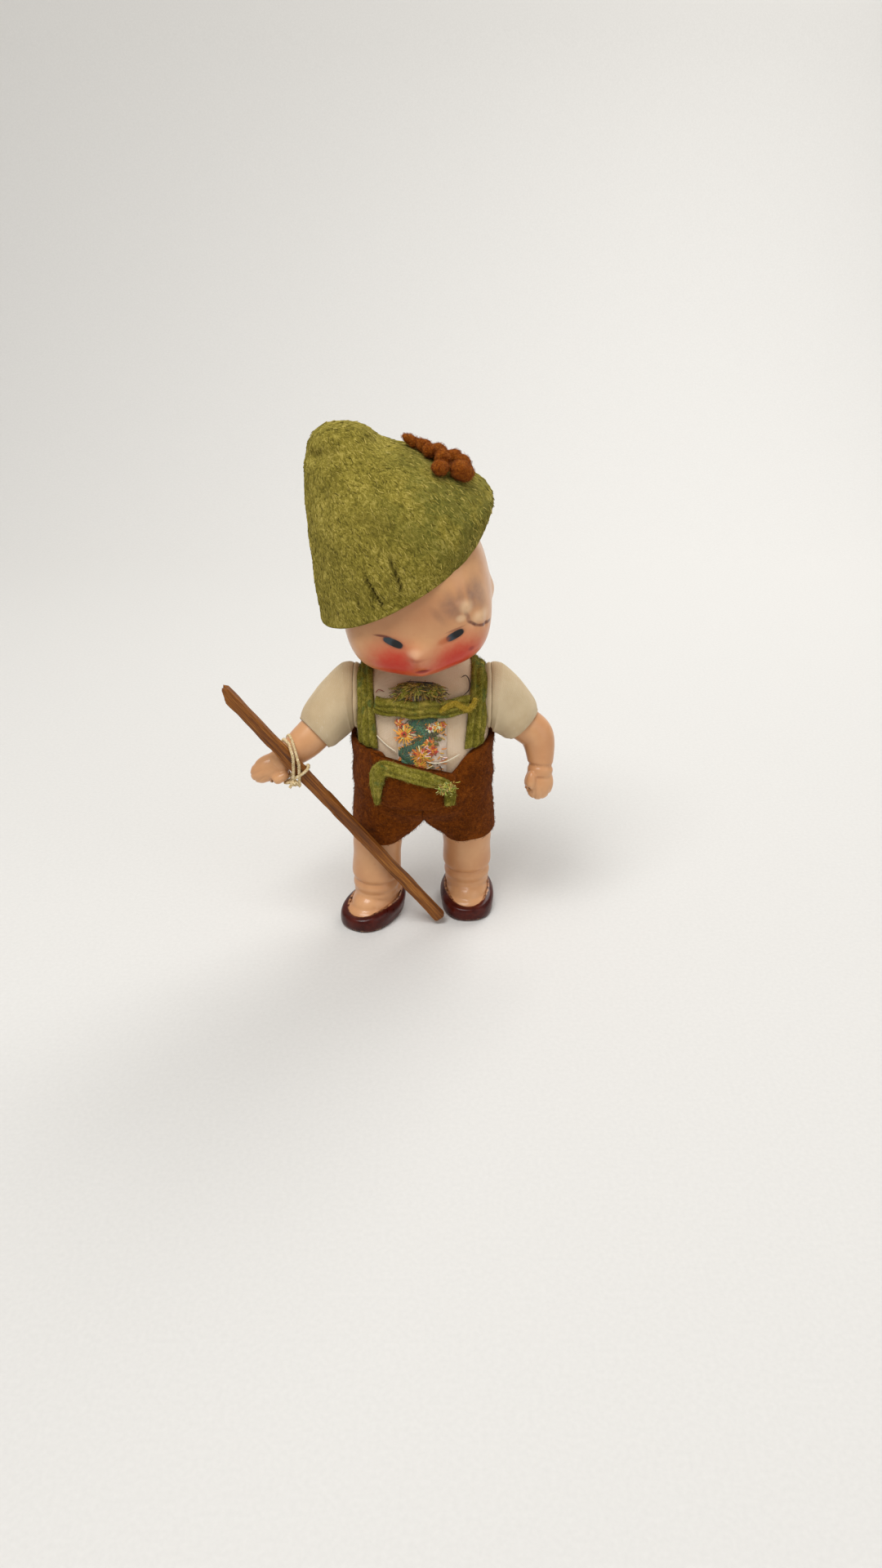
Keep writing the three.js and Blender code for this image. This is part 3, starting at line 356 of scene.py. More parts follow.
def turnedTo(place, turn, scale):  # a pattern's own axes: turned first, then stretched
    turned = place.node("ShaderNodeMapping", {}, {"Vector": place, "Rotation": turn})
    return place.node("ShaderNodeMapping", {}, {"Vector": turned, "Scale": scale})


def parts(place):
    split = place.node("ShaderNodeSeparateXYZ", {}, {0: place})
    made = split.socket.node
    return [Wire(place.tree, made.outputs[k]) for k in range(3)]


def inMillimetres(place, centre=(0, 0, 0), tilt=0.0):  # places in mm about a point, in axes turned about Y
    moved = place.node("ShaderNodeVectorMath", {"operation": "SUBTRACT"}, {0: place, 1: tuple(inFrame(centre)[0])})
    turned = place.node("ShaderNodeVectorRotate", {"rotation_type": "Y_AXIS"}, {"Vector": moved, "Angle": tilt})
    return place.node("ShaderNodeVectorMath", {"operation": "SCALE"}, {0: turned, "Scale": 1000.0})


class Finish:  # a material with its shader's sockets by name
    def __init__(self, name, **fixed):
        self.material = bpy.data.materials.new(name)
        self.material.use_nodes = True
        self.tree = self.material.node_tree
        self.shader = self.tree.nodes["Principled BSDF"]
        self.root = Wire(self.tree)
        for key, value in fixed.items():
            self.shader.inputs[key.replace("_", " ")].default_value = value

    def place(self, kind="object"):
        if kind == "object":
            return self.root.node("ShaderNodeTexCoord", {}, {}, 3)
        if kind == "uv":
            return self.root.node("ShaderNodeUVMap", {"uv_map": "weave"}, {})
        return self.root.node("ShaderNodeAttribute", {"attribute_name": kind}, {}, 1)

    def amount(self, name):
        return self.root.node("ShaderNodeAttribute", {"attribute_name": name}, {}, 2)

    def feed(self, **wires):
        for key, wire in wires.items():
            self.tree.links.new(wire.socket, self.shader.inputs[key.replace("_", " ")])

    def relief(self, height, distance):
        self.feed(Normal=self.root.node("ShaderNodeBump", {}, {
            "Height": height, "Distance": distance * mm, "Strength": 1.0}))


photoCamera = {"place": (5.4, -317.0, 211.4), "pitch": 28.0, "focalPixels": 1442.0, "longSidePixels": 1920}
lens = bpy.data.cameras.new("photo_camera")
lens.sensor_width = 36
lens.lens = 36 * photoCamera["focalPixels"] / photoCamera["longSidePixels"]
lens.clip_start = 0.01
viewer = bpy.data.objects.new("photo_camera", lens)
viewer.location = inFrame(photoCamera["place"])[0]
viewer.rotation_euler = (math.radians(90 - photoCamera["pitch"]), 0, 0)
scene.collection.objects.link(viewer)
scene.camera = viewer

studio = {  # watts, size in m, place in m
    "key": (5.9, 0.46, (-0.2, -0.3, 0.9)),
    "fill": (1.0, 0.6, (0.65, -0.45, 0.35)),
    "back": (2.6, 0.4, (0.3, 0.5, 0.6)),
    "world": 0.36,
}
for name in ("key", "fill", "back"):
    power, size, place = studio[name]
    lamp = bpy.data.lights.new(name + "_lamp", "AREA")
    lamp.energy, lamp.size = power, size
    stand = bpy.data.objects.new(name + "_lamp", lamp)
    stand.location = place
    stand.rotation_euler = (Vector((0, 0, 0.08)) - Vector(place)).to_track_quat("-Z", "Y").to_euler()
    scene.collection.objects.link(stand)
scene.world = scene.world or bpy.data.worlds.new("studio")
scene.world.use_nodes = True
skyNode = scene.world.node_tree.nodes["Background"]
skyNode.inputs["Color"].default_value = (1.0, 0.985, 0.96, 1)
skyNode.inputs["Strength"].default_value = studio["world"]

sweep = {"halfWidth": 1.6, "front": -1.2, "turn": 0.35, "bend": 0.3, "top": 1.6}
sweepLine = [(sweep["front"], 0.0)]
for angle in np.linspace(0, math.pi / 2, 25):
    sweepLine.append((sweep["turn"] + sweep["bend"] * math.sin(angle), sweep["bend"] * (1 - math.cos(angle))))
sweepLine.append((sweep["turn"] + sweep["bend"], sweep["top"]))
sweepPoints = np.array([(side * sweep["halfWidth"], y, z) for y, z in sweepLine for side in (-1, 1)]) / mm
sweepFaces = [[2 * k, 2 * k + 1, 2 * k + 3, 2 * k + 2] for k in range(len(sweepLine) - 1)]
paper = Finish("pale_paper", Roughness=0.9)
paper.feed(Base_Color=mixed(speckle(paper.place(), 900.0, 2.0), tone(214, 212, 208), tone(224, 222, 218)))
make("studio_sweep", sweepPoints, sweepFaces, paper.material)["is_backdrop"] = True
print("camera, lamps and floor set")


# Felt: matted fibres in several tones, drawn out along a grain
def felt(name, tones, turn=(0, 0, 0), draw=(5200, 5200, 900), patch=150.0, depth=0.22, stain=None):
    made = Finish(name, Roughness=0.96, Sheen_Weight=0.03, Sheen_Roughness=0.5, Specular_IOR_Level=0.03)
    place = made.place()
    swirl = place.node("ShaderNodeTexNoise", {}, {"Vector": place, "Scale": 420.0, "Detail": 2.0}, 1)
    sway = place.node("ShaderNodeVectorMath", {"operation": "MULTIPLY_ADD"}, {
        0: swirl, 1: (0.0024,) * 3, 2: place})
    strokes = speckle(turnedTo(sway, turn, draw), 1.0, 3.0, 0.6)
    crossed = speckle(turnedTo(sway, (turn[0] + 0.5, turn[1] + 0.9, turn[2]), draw), 1.0, 2.0, 0.6)
    fine = speckle(place, 5200.0, 3.0, 0.7)
    patches = speckle(place, patch, 4.0, 0.6)
    mottle = speckle(place, 950.0, 3.0, 0.65)
    mat = strokes * 0.4 + crossed * 0.16 + patches * 0.2 + mottle * 0.24
    colour = ramped(between(mat, 0.34, 0.66), tones)
    # flecks tied to the fine relief: painted highlight on the raised fibres and painted shade in the pits
    colour = mixed(between(fine, 0.58, 0.8) * 0.45, colour, tones[-1][1])
    colour = mixed(between(fine, 0.42, 0.24) * 0.5, colour, tones[0][1])
    if stain is not None:
        colour = stain(made, colour)
    made.feed(Base_Color=colour)
    made.relief(strokes * 0.6 + crossed * 0.3 + fine * 0.5, depth)
    return made.material


def napOf(name, tones):  # loose fibres that stand on felt, each with its own tint
    made = Finish(name, Roughness=0.95, Sheen_Weight=0.05, Specular_IOR_Level=0.04)
    made.feed(Base_Color=ramped(made.amount("tint"), tones))
    return made.material


def geometryTree(name, inputs):
    tree = bpy.data.node_groups.new(name, "GeometryNodeTree")
    tree.interface.new_socket("Geometry", in_out="OUTPUT", socket_type="NodeSocketGeometry")
    ids = {}
    for label, kind in inputs.items():
        ids[label] = tree.interface.new_socket(label, in_out="INPUT", socket_type="NodeSocket" + kind).identifier
    door = tree.nodes.new("NodeGroupInput")
    return tree, ids, {label: Wire(tree, door.outputs[label]) for label in inputs}


def closeTree(tree, last, finish):
    whole = last.node("GeometryNodeRealizeInstances", {}, {0: last})
    whole = last.node("GeometryNodeSetShadeSmooth", {}, {0: whole})
    done = last.node("GeometryNodeSetMaterial", {}, {"Geometry": whole, "Material": finish})
    tree.links.new(done.socket, tree.nodes.new("NodeGroupOutput").inputs[0])


def grown(name, carrier, grower, **values):  # a tree's result on a carrier mesh, as a plain mesh
    tree, ids = grower
    bare = bpy.data.objects.new(name + "_carrier", carrier)
    scene.collection.objects.link(bare)
    run = bare.modifiers.new("grow", "NODES")
    run.node_group = tree
    for label, value in values.items():
        run[ids[label]] = value
    return plain(name, bare)


def napGrower():  # bent fibres scattered on a surface, lying along a grain
    tree, ids, given = geometryTree("felt_nap", {
        "Geometry": "Geometry", "Density": "Float", "Length": "Float", "Thickness": "Float", "Spread": "Float",
        "Rise": "Float", "Lift": "Float", "Grain": "Vector", "Seed": "Int", "Finish": "Material"})
    root = given["Geometry"]
    scatter = root.node("GeometryNodeDistributePointsOnFaces", {"distribute_method": "RANDOM"}, {
        "Mesh": root, "Density": given["Density"], "Seed": given["Seed"]})
    stand = Wire(tree, scatter.socket.node.outputs["Rotation"])
    combed = root.node("FunctionNodeAlignRotationToVector", {"axis": "X", "pivot_axis": "Z"}, {
        "Rotation": stand, "Factor": 1.0, "Vector": given["Grain"]})
    low = root.node("ShaderNodeCombineXYZ", {}, {0: -0.35, 1: given["Lift"] * -0.5, 2: given["Spread"] * -1.0})
    high = root.node("ShaderNodeCombineXYZ", {}, {0: 0.35, 1: given["Lift"] * 0.35, 2: given["Spread"]})
    loose = root.node("FunctionNodeRandomValue", {"data_type": "FLOAT_VECTOR"}, {
        0: low, 1: high, "Seed": given["Seed"]})
    turn = root.node("FunctionNodeEulerToRotation", {}, {0: loose})
    turned = root.node("FunctionNodeRotateRotation", {"rotation_space": "LOCAL"}, {0: combed, 1: turn})
    size = root.node("FunctionNodeRandomValue", {"data_type": "FLOAT"}, {
        2: 0.5, 3: 1.3, "Seed": given["Seed"] + 1}, 1)
    bend = root.node("GeometryNodeCurveQuadraticBezier", {}, {
        "Resolution": 3, "Start": (0, 0, -0.05),
        "Middle": root.node("ShaderNodeCombineXYZ", {}, {0: 0.35, 1: 0.0, 2: given["Rise"] * 1.6}),
        "End": root.node("ShaderNodeCombineXYZ", {}, {0: 0.95, 1: 0.0, 2: given["Rise"]})})
    round3 = root.node("GeometryNodeCurvePrimitiveCircle", {"mode": "RADIUS"}, {
        "Resolution": 3, "Radius": given["Thickness"]})
    fibre = root.node("GeometryNodeCurveToMesh", {}, {"Curve": bend, "Profile Curve": round3})
    spread = root.node("GeometryNodeInstanceOnPoints", {}, {
        "Points": scatter, "Instance": fibre, "Rotation": turned, "Scale": size * given["Length"]})
    tint = root.node("FunctionNodeRandomValue", {"data_type": "FLOAT"}, {
        2: 0.0, 3: 1.0, "Seed": given["Seed"] + 2}, 1)
    marked = root.node("GeometryNodeStoreNamedAttribute", {"data_type": "FLOAT", "domain": "INSTANCE"}, {
        "Geometry": spread, "Name": "tint", "Value": tint})
    closeTree(tree, marked, given["Finish"])
    return tree, ids


def stitchGrower():  # a thread arched over the cloth at every point, aimed and coloured by the point
    tree, ids, given = geometryTree("embroidery_stitches", {
        "Geometry": "Geometry", "Thickness": "Float", "Arch": "Float", "Finish": "Material"})
    root = given["Geometry"]
    top = root.node("ShaderNodeCombineXYZ", {}, {0: 0.5, 1: 0.0, 2: given["Arch"] * 2.0})
    arch = root.node("GeometryNodeCurveQuadraticBezier", {}, {
        "Resolution": 5, "Start": (0, 0, 0), "Middle": top, "End": (1, 0, 0)})
    section = root.node("GeometryNodeCurvePrimitiveCircle", {"mode": "RADIUS"}, {
        "Resolution": 5, "Radius": given["Thickness"]})
    thread = root.node("GeometryNodeCurveToMesh", {}, {"Curve": arch, "Profile Curve": section, "Fill Caps": True})
    aim = root.node("GeometryNodeInputNamedAttribute", {"data_type": "FLOAT_VECTOR"}, {"Name": "aim"})
    reach = root.node("GeometryNodeInputNamedAttribute", {"data_type": "FLOAT"}, {"Name": "reach"})
    placed = root.node("GeometryNodeInstanceOnPoints", {}, {
        "Points": root, "Instance": thread,
        "Rotation": root.node("FunctionNodeEulerToRotation", {}, {0: aim}),
        "Scale": root.node("ShaderNodeCombineXYZ", {}, {0: reach, 1: 1.0, 2: 1.0})})
    closeTree(tree, placed, given["Finish"])
    return tree, ids


def stringGrower():  # a line of points as string, its plies laid round each other
    tree, ids, given = geometryTree("twisted_string", {
        "Geometry": "Geometry", "Radius": "Float", "Lay": "Float", "Finish": "Material"})
    root = given["Geometry"]
    line = root.node("GeometryNodeMeshToCurve", {}, {0: root})
    line = root.node("GeometryNodeResampleCurve", {"mode": "LENGTH"}, {"Curve": line, "Length": 0.00016})
    length = root.node("GeometryNodeSplineParameter", {}, {}, 1)
    line = root.node("GeometryNodeSetCurveTilt", {}, {"Curve": line, "Tilt": length / given["Lay"] * (2 * math.pi)})
    ring = root.node("GeometryNodeCurvePrimitiveCircle", {"mode": "RADIUS"}, {"Resolution": 18, "Radius": 1.0})
    share = root.node("GeometryNodeSplineParameter", {}, {})
    plies = share.sum("COSINE", share * (6 * math.pi)) * 0.16 + 0.84
    where = root.node("GeometryNodeInputPosition", {}, {})
    lobed = root.node("ShaderNodeVectorMath", {"operation": "SCALE"}, {0: where, "Scale": plies * given["Radius"]})
    ring = root.node("GeometryNodeSetPosition", {}, {"Geometry": ring, "Position": lobed})
    string = root.node("GeometryNodeCurveToMesh", {}, {"Curve": line, "Profile Curve": ring, "Fill Caps": True})
    closeTree(tree, string, given["Finish"])
    return tree, ids


nap, stitches, twist = napGrower(), stitchGrower(), stringGrower()
print("growers ready")


# Flesh paint on moulded composition, with a thin old varnish
def composition(name, paint=None):
    made = Finish(name, Specular_IOR_Level=0.3, Coat_Roughness=0.13, Coat_Weight=0.22)
    place = made.place()
    broad = speckle(place, 85.0, 3.0)
    fine = speckle(place, 2400.0, 3.0, 0.6)
    rub = speckle(place, 420.0, 4.0, 0.65)
    colour = mixed(between(broad, 0.3, 0.7), tone(206, 148, 102), tone(220, 166, 118))
    colour = mixed(between(rub, 0.6, 0.75) * 0.3, colour, tone(198, 128, 82))
    colour = mixed(between(fine, 0.68, 0.78) * 0.3, colour, tone(160, 98, 62))
    if paint is not None:
        colour = paint(made, colour)
    made.feed(Base_Color=colour, Roughness=rub * 0.16 + 0.24)
    made.relief(broad * 0.5 + fine * 0.12, 0.12)
    return made.material


def spot(x, z, middle, size, turn=0.0, soft=0.35, square=1):  # a soft oval patch of paint
    c, s = math.cos(math.radians(turn)), math.sin(math.radians(turn))
    dx, dz = x - middle[0], z - middle[1]
    u = (dx * c + dz * s) / size[0]
    v = (dz * c - dx * s) / size[1]
    return between(((u * u) ** square + (v * v) ** square) ** (0.5 / square), 1 + soft, 1 - soft)


def stroke(x, z, start, end, width, soft=0.5):  # a brush line, thin at its ends
    middle = [(a + b) / 2 for a, b in zip(start, end)]
    length = math.dist(start, end) / 2
    turn = math.degrees(math.atan2(end[1] - start[1], end[0] - start[0]))
    return spot(x, z, middle, (length, width), turn, soft)


def facePaint(made, colour):  # all places and sizes are in mm on the face, from the head's middle
    x, y, z = parts(inMillimetres(made.place(), head["centre"], -math.radians(head["tilt"])))
    wobble = speckle(made.place(), 700.0, 2.0)
    front, facing = between(y, -4.0, -8.0), between(y, -8.5, -12.0)
    for middle, size, turn, strength in (
            ((-7.4, -12.4), (6.8, 5.8), 0, 0.8), ((-6.8, -12.8), (4.0, 3.4), 0, 0.9),
            ((10.4, -12.6), (7.8, 5.2), 22, 0.8), ((9.4, -13.6), (5.0, 3.0), 18, 0.85),
            ((0.5, -16.4), (7.0, 2.6), 0, 0.5)):
        blush = spot(x, z, middle, size, turn, 0.8) * front * strength * (wobble * 0.5 + 0.75)
        colour = mixed(blush, colour, tone(198, 44, 16))
    # painted shadow of the hat across the forehead
    paintedHatShadow = spot(x, z, (-1.0, 1.5), (13.0, 7.0), -12, 0.85) * front * 0.34
    colour = mixed(paintedHatShadow, colour, tone(160, 98, 62))
    loose = (
        ((9.4, 5.4), (11.4, -1.6), 1.5, (124, 92, 82), 0.5), ((7.4, 3.6), (9.4, -1.2), 1.1, (140, 100, 80), 0.4),
        ((12.6, 6.0), (13.0, 0.6), 1.0, (140, 104, 88), 0.4), ((16.4, 7.4), (18.3, -1.6), 1.5, (128, 98, 92), 0.5),
        ((14.8, 6.6), (15.8, 0.2), 0.8, (128, 98, 92), 0.45), ((5.0, 2.0), (7.8, -2.2), 1.1, (150, 104, 76), 0.45))
    firm = (
        ((13.9, -3.2), (16.4, -5.2), 0.45, (96, 44, 30), 0.85),
        ((16.1, -5.2), (20.4, -6.3), 0.45, (96, 44, 30), 0.85),
        ((14.4, -3.6), (13.4, 0.2), 0.6, (140, 92, 72), 0.6))
    for strokes, soft in ((loose, 0.75), (firm, 0.5)):  # hair: start, end, width, colour and strength of each
        for start, end, width, hue, strength in strokes:
            drawn = stroke(x, z, start, end, width, soft) * facing * strength
            colour = mixed(drawn * (wobble + 0.45), colour, tone(*hue))
    # painted highlights on the forelock's moulded lumps
    for middle, size in (((13.9, 0.9), (1.5, 1.7)), ((17.2, -3.0), (1.9, 1.4)), ((12.2, -1.9), (1.2, 0.9))):
        colour = mixed(spot(x, z, middle, size, 0, 0.6) * facing * 0.6, colour, tone(236, 200, 158))
    # painted highlight on the tip of the nose
    colour = mixed(spot(x, z, (-1.2, -9.2), (1.7, 1.1), 0, 0.7) * facing * 0.55, colour, tone(240, 194, 154))
    # painted shadow under the nose
    colour = mixed(spot(x, z, (-1.2, -11.3), (2.3, 0.5), 0, 0.7) * facing * 0.45, colour, tone(170, 84, 52))
    for middle, size, turn, tip, inner in (
            ((-6.7, -6.0), (2.75, 1.08), -29.0, (-5.2, -6.85), 0.0),
            ((10.05, -6.25), (2.55, 0.98), 22.0, (11.4, -5.7), 0.55)):
        rim = spot(x, z, middle, (size[0] + 0.5, size[1] + 0.4), turn, 0.3)
        colour = mixed(rim * front * 0.55, colour, tone(150, 78, 44))
        eye = spot(x, z, middle, size, turn, 0.12, 1.4) * front
        colour = mixed(eye, colour, tone(46, 58, 66))
        colour = mixed(eye * spot(x, z, tip, (2.1, 1.7), turn, 0.3), colour, tone(10, 10, 13))
        if inner:
            corner = spot(x, z, (6.9, -7.3), (1.6, 0.8), 20, 0.6) * front * inner
            colour = mixed(corner, colour, tone(176, 78, 28))
    colour = mixed(stroke(x, z, (-11.4, -3.7), (-7.4, -4.4), 0.35) * front * 0.85, colour, tone(110, 46, 30))
    colour = mixed(stroke(x, z, (8.0, -5.2), (12.8, -4.1), 0.3) * front * 0.5, colour, tone(120, 60, 40))
    colour = mixed(spot(x, z, (14.0, -11.2), (0.8, 0.6), 30, 0.6) * front * 0.6, colour, tone(140, 30, 24))
    mouth = spot(x, z, (0.2, -15.5), (2.1, 0.55), 4, 0.5) * front
    colour = mixed(mouth * 0.85, colour, tone(150, 28, 20))
    return mixed(spot(x, z, (0.2, -15.3), (1.3, 0.2), 4, 0.6) * front * 0.7, colour, tone(84, 14, 12))


fleshPaint = composition("flesh_paint")

hatTones = [(0.0, tone(82, 74, 24)), (0.35, tone(132, 120, 47)), (0.65, tone(160, 145, 62)), (1.0, tone(206, 186, 100))]
greenTones = [(0.0, tone(70, 64, 18)), (0.35, tone(114, 107, 34)), (0.65, tone(144, 134, 52)),
              (1.0, tone(186, 172, 92))]
brownTones = [(0.0, tone(58, 25, 3)), (0.4, tone(96, 45, 7)), (0.7, tone(120, 60, 11)), (1.0, tone(156, 88, 28))]
rustTones = [(0.0, tone(84, 34, 6)), (0.4, tone(132, 66, 16)), (0.7, tone(158, 87, 26)), (1.0, tone(194, 122, 50))]


def hatStainsAndSlitShade(made, colour):  # greener towards the saddle and in a few spots, with painted shade in the slits near the brim
    place = made.place()
    x, y, z = parts(inMillimetres(place))
    cloud = speckle(place, 120.0, 3.0)
    saddle = spot(x, z, (8.0, 132.0), (17.0, 13.0), -35, 0.8) * between(cloud, 0.35, 0.6)
    colour = mixed(saddle * 0.5, colour, tone(86, 94, 42))
    stain = spot(x, z, (7.4, 112.4), (1.9, 1.2), 20, 0.6) * between(y, 0.0, -6.0)
    colour = mixed(stain * 0.8, colour, tone(62, 96, 34))
    colour = mixed(between(cloud, 0.56, 0.72) * 0.35, colour, tone(112, 100, 40))
    # painted shade in the slits, carried by the form attribute
    return mixed(parts(made.place("form"))[0] * 0.8, colour, tone(54, 46, 14))


def braceStains(made, colour):  # the dye has gone blue-green and yellow in places
    place = made.place()
    cool = speckle(place, 210.0, 3.0, 0.6)
    warm = speckle(place, 300.0, 3.0, 0.6, 0.4)
    colour = mixed(between(cool, 0.55, 0.66) * 0.6, colour, tone(82, 108, 62))
    return mixed(between(warm, 0.56, 0.68) * 0.65, colour, tone(188, 168, 80))


def shortsStains(made, colour):  # rubbed lighter and darker in clouds
    place = made.place()
    warm = speckle(place, 130.0, 4.0, 0.6)
    colour = mixed(between(warm, 0.5, 0.68) * 0.5, colour, tone(136, 70, 15))
    return mixed(between(warm, 0.46, 0.3) * 0.5, colour, tone(60, 26, 4))


hatFelt = felt("hat_felt", hatTones, turn=(0, 0.62, 0), draw=(2300, 2300, 430), depth=0.5, stain=hatStainsAndSlitShade)
greenFelt = felt("green_felt", greenTones, patch=220.0, stain=braceStains)
brownFelt = felt("brown_felt", brownTones, turn=(0, 1.0, 0.4), draw=(5200, 5200, 2200), stain=shortsStains)
rustFelt = felt("rust_felt", rustTones, turn=(0.5, 0.9, 0), patch=320.0, depth=0.3)
hatNap, greenNap = napOf("hat_nap", hatTones), napOf("green_nap", greenTones)
brownNap, rustNap = napOf("brown_nap", brownTones), napOf("rust_nap", rustTones)


# Plain woven cotton, seen as fine crossing threads with a few slubs and a yellowed bloom
def cotton(name, light, dark, pitch=0.34):
    made = Finish(name, Roughness=0.88, Sheen_Weight=0.12, Specular_IOR_Level=0.2)
    u, v, _ = parts(made.place("uv"))
    place = made.place()
    warp = u.sum("SINE", u * (2 * math.pi / pitch)) * 0.5 + 0.5
    weft = u.sum("SINE", v * (2 * math.pi / pitch)) * 0.5 + 0.5
    over = u.sum("SINE", u * (math.pi / pitch)) * u.sum("SINE", v * (math.pi / pitch)) * 0.5 + 0.5
    threads = warp * over + weft * (1 - over)
    bloom = speckle(place, 75.0, 4.0, 0.6)
    slub = speckle(turnedTo(place, (0, 0, 0), (2600, 2600, 500)), 1.0, 2.0)
    colour = mixed(between(bloom, 0.32, 0.7), light, dark)
    colour = mixed(between(slub, 0.6, 0.75) * 0.25, colour, tone(240, 230, 214))
    # painted shade in the gaps between the threads
    colour = mixed((1 - threads) * 0.22, colour, tone(150, 126, 96))
    made.feed(Base_Color=colour)
    made.relief(threads + slub * 0.5, 0.06)
    return made.material


shirtCotton = cotton("shirt_cotton", tone(236, 212, 184), tone(220, 190, 154))
sleeveCotton = cotton("sleeve_cotton", tone(222, 201, 164), tone(205, 180, 141))
print("finishes ready")

# The body that the clothes lie on: half-width, half-depth and height of its sections
body = {"squareness": 2.3, "stations": [
    (5.49, 7.5, 36.0), (15.0, 12.9, 39.6), (18.3, 15.0, 45.95), (18.3, 15.6, 54.4),
    (18.9, 13.8, 69.4), (18.33, 11.59, 77.45), (15.5, 9.66, 80.78), (10.0, 8.5, 84.0)]}
bodyLine = spline(body["stations"], np.linspace(0, 1, 900))
lean = np.gradient(bodyLine, axis=0)
outward = unit(np.stack([lean[:, 2], -lean[:, 0]], 1))


def bodyAt(z, off):  # half-width and half-depth of the body's form, off by a distance, at a height
    level = bodyLine[:, 2] + off * outward[:, 1]
    level = np.maximum.accumulate(level)
    wide = np.interp(z, level, bodyLine[:, 0] + off * outward[:, 0])
    return wide, np.interp(z, level, bodyLine[:, 1] + off * outward[:, 0])


def onFront(x, z, off, side=-1):  # the body's form in front of or behind a point of the front view
    wide, deep = bodyAt(z, off)
    inside = np.clip(1 - np.abs(x / wide) ** body["squareness"], 0, None)
    return np.stack([x, side * deep * inside ** (1 / body["squareness"]), z], -1)


def squared(v):
    return np.sign(v) * np.abs(v) ** (2 / body["squareness"])


def acrossBand(count):  # places across a band, closer at its edges
    return 0.5 * np.sin(np.linspace(-math.pi / 2, math.pi / 2, count))


def domed(u, power):  # a height over -0.5 to 0.5: full in the middle, round at both ends
    return np.sqrt(np.clip(1 - np.abs(2 * u) ** power, 0, 1))


def rounding(rows, across, ends, edge):  # how high a felt band stands, with rows at each end that round off
    fromEnd = np.minimum(np.arange(rows), np.arange(rows)[::-1]) / ends
    return domed(acrossBand(across), edge)[None] * np.sqrt(1 - np.clip(1 - fromEnd, 0, 1) ** 2)[:, None]


def feltBand(name, skin, height, finish):  # a closed strip that lies on a skin
    normals = gridNormals(skin)
    if np.sum(normals * (skin - np.array([0, 0, 64.0]))) < 0:  # towards the body's middle
        normals = -normals
    top = skin + normals * height[..., None]
    return closedLoft(name, np.concatenate([top, skin[:, -2:0:-1]], 1), finish)


def creased(skin, width, seed, lines):  # creases that wander along rolled felt: place across and depth of each
    u = acrossBand(skin.shape[1])[None]
    high = 1 + 0.14 * ripple(skin, 2.2, seed) + 0.1 * ripple(skin, 5.0, seed + 1)
    for k, (place, deep) in enumerate(lines):
        wander = 0.13 * ripple(skin[:, :1], 8.0, seed + 5 + k)
        high = high - deep * np.exp(-(((u - place - wander) * width / 0.45) ** 2))
    return np.clip(high, 0.3, 1.2)


def widthsAlong(widths, rows):  # a band's widths at even places, at every row
    return np.interp(np.linspace(0, 1, rows), np.linspace(0, 1, len(widths)), widths)


def bandOnFront(line, widths, off, across):  # the skin under a band along a line of the front view
    line = np.asarray(line, float)
    ahead = unit(np.gradient(line, axis=0))
    aside = np.stack([-ahead[:, 1], ahead[:, 0]], 1)
    flat = line[:, None] + (acrossBand(across)[None] * np.asarray(widths)[:, None])[..., None] * aside[:, None]
    return onFront(flat[..., 0], flat[..., 1], off)


def wearing(obj, bodyName, slot, *nodes):  # a finished piece on its body
    if nodes:
        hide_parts(*nodes)
    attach(obj, bodyName)
    return obj


def napOn(carrier, name, bodyName, slot, finish, density, length, grain, seed, spread=0.9, thickness=0.03, rise=0.2,
          lift=1.0):
    fibres = grown(name, carrier.data, nap, Density=density * 1e6, Length=length * mm, Thickness=thickness,
                   Spread=spread, Rise=rise, Lift=lift, Grain=grain, Seed=seed, Finish=finish)
    return wearing(fibres, bodyName, slot)


# Solids shown as the CAD made them: the torso under the clothes, and the stringing
elasticCotton = Finish("elastic_cover", Roughness=0.85, Sheen_Weight=0.1)
braidWave = elasticCotton.place().node("ShaderNodeTexWave", {"bands_direction": "DIAGONAL"}, {
    "Vector": elasticCotton.place(), "Scale": 900.0, "Distortion": 1.5})
elasticCotton.feed(Base_Color=mixed(braidWave, tone(206, 200, 186), tone(236, 232, 220)))
elasticCotton.relief(braidWave, 0.1)
beech = Finish("turned_beech", Roughness=0.6)
flecks = speckle(turnedTo(beech.place(), (0, 0, 0), (3000, 3000, 600)), 1.0, 3.0)
beech.feed(Base_Color=mixed(between(flecks, 0.4, 0.65), tone(206, 172, 126), tone(176, 138, 92)))
shown = {"torso": fleshPaint, "neck_button": beech.material}
shown.update({limbs + "_elastic": elasticCotton.material for limbs in ("arm", "leg", "head")})
for node, finish in shown.items():
    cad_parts[node].material_slots[0].material = finish


def rolledFelt(name, node, skin, band, ends, edge, seed, grain, napSeed, fuller=1.0):  # a creased strip with its nap
    high = band["thick"] * fuller * rounding(len(skin), band["across"], ends, edge)
    high = high * creased(skin, band["width"], seed, band["creases"])
    strip = wearing(feltBand(name + "_felt", skin, high, greenFelt), "torso", "green_felt", node)
    napOn(strip, name + "_nap", "torso", "green_felt", greenNap, density=5, length=0.75, grain=grain, seed=napSeed)


def ringAcross(turns, x, radius, z):  # a ring about the X direction
    return np.stack([np.full_like(turns, x), radius * np.cos(turns), z + radius * np.sin(turns)], 1)


def squaredRing(turns, wide, deep, z, middle=0):  # a level ring as square as the body
    return np.stack([wide * squared(np.cos(turns)), middle + deep * squared(np.sin(turns)), np.full_like(turns, z)], 1)


def placesOf(obj):
    return np.array([v.co[:] for v in obj.data.vertices])


def swell(obj, lifts):  # vertices moved along their normals, by millimetres
    for v, lift in zip(obj.data.vertices, lifts):
        if lift:
            v.co += v.normal * float(lift * mm)


sides = ((1, "left"), (-1, "right"))

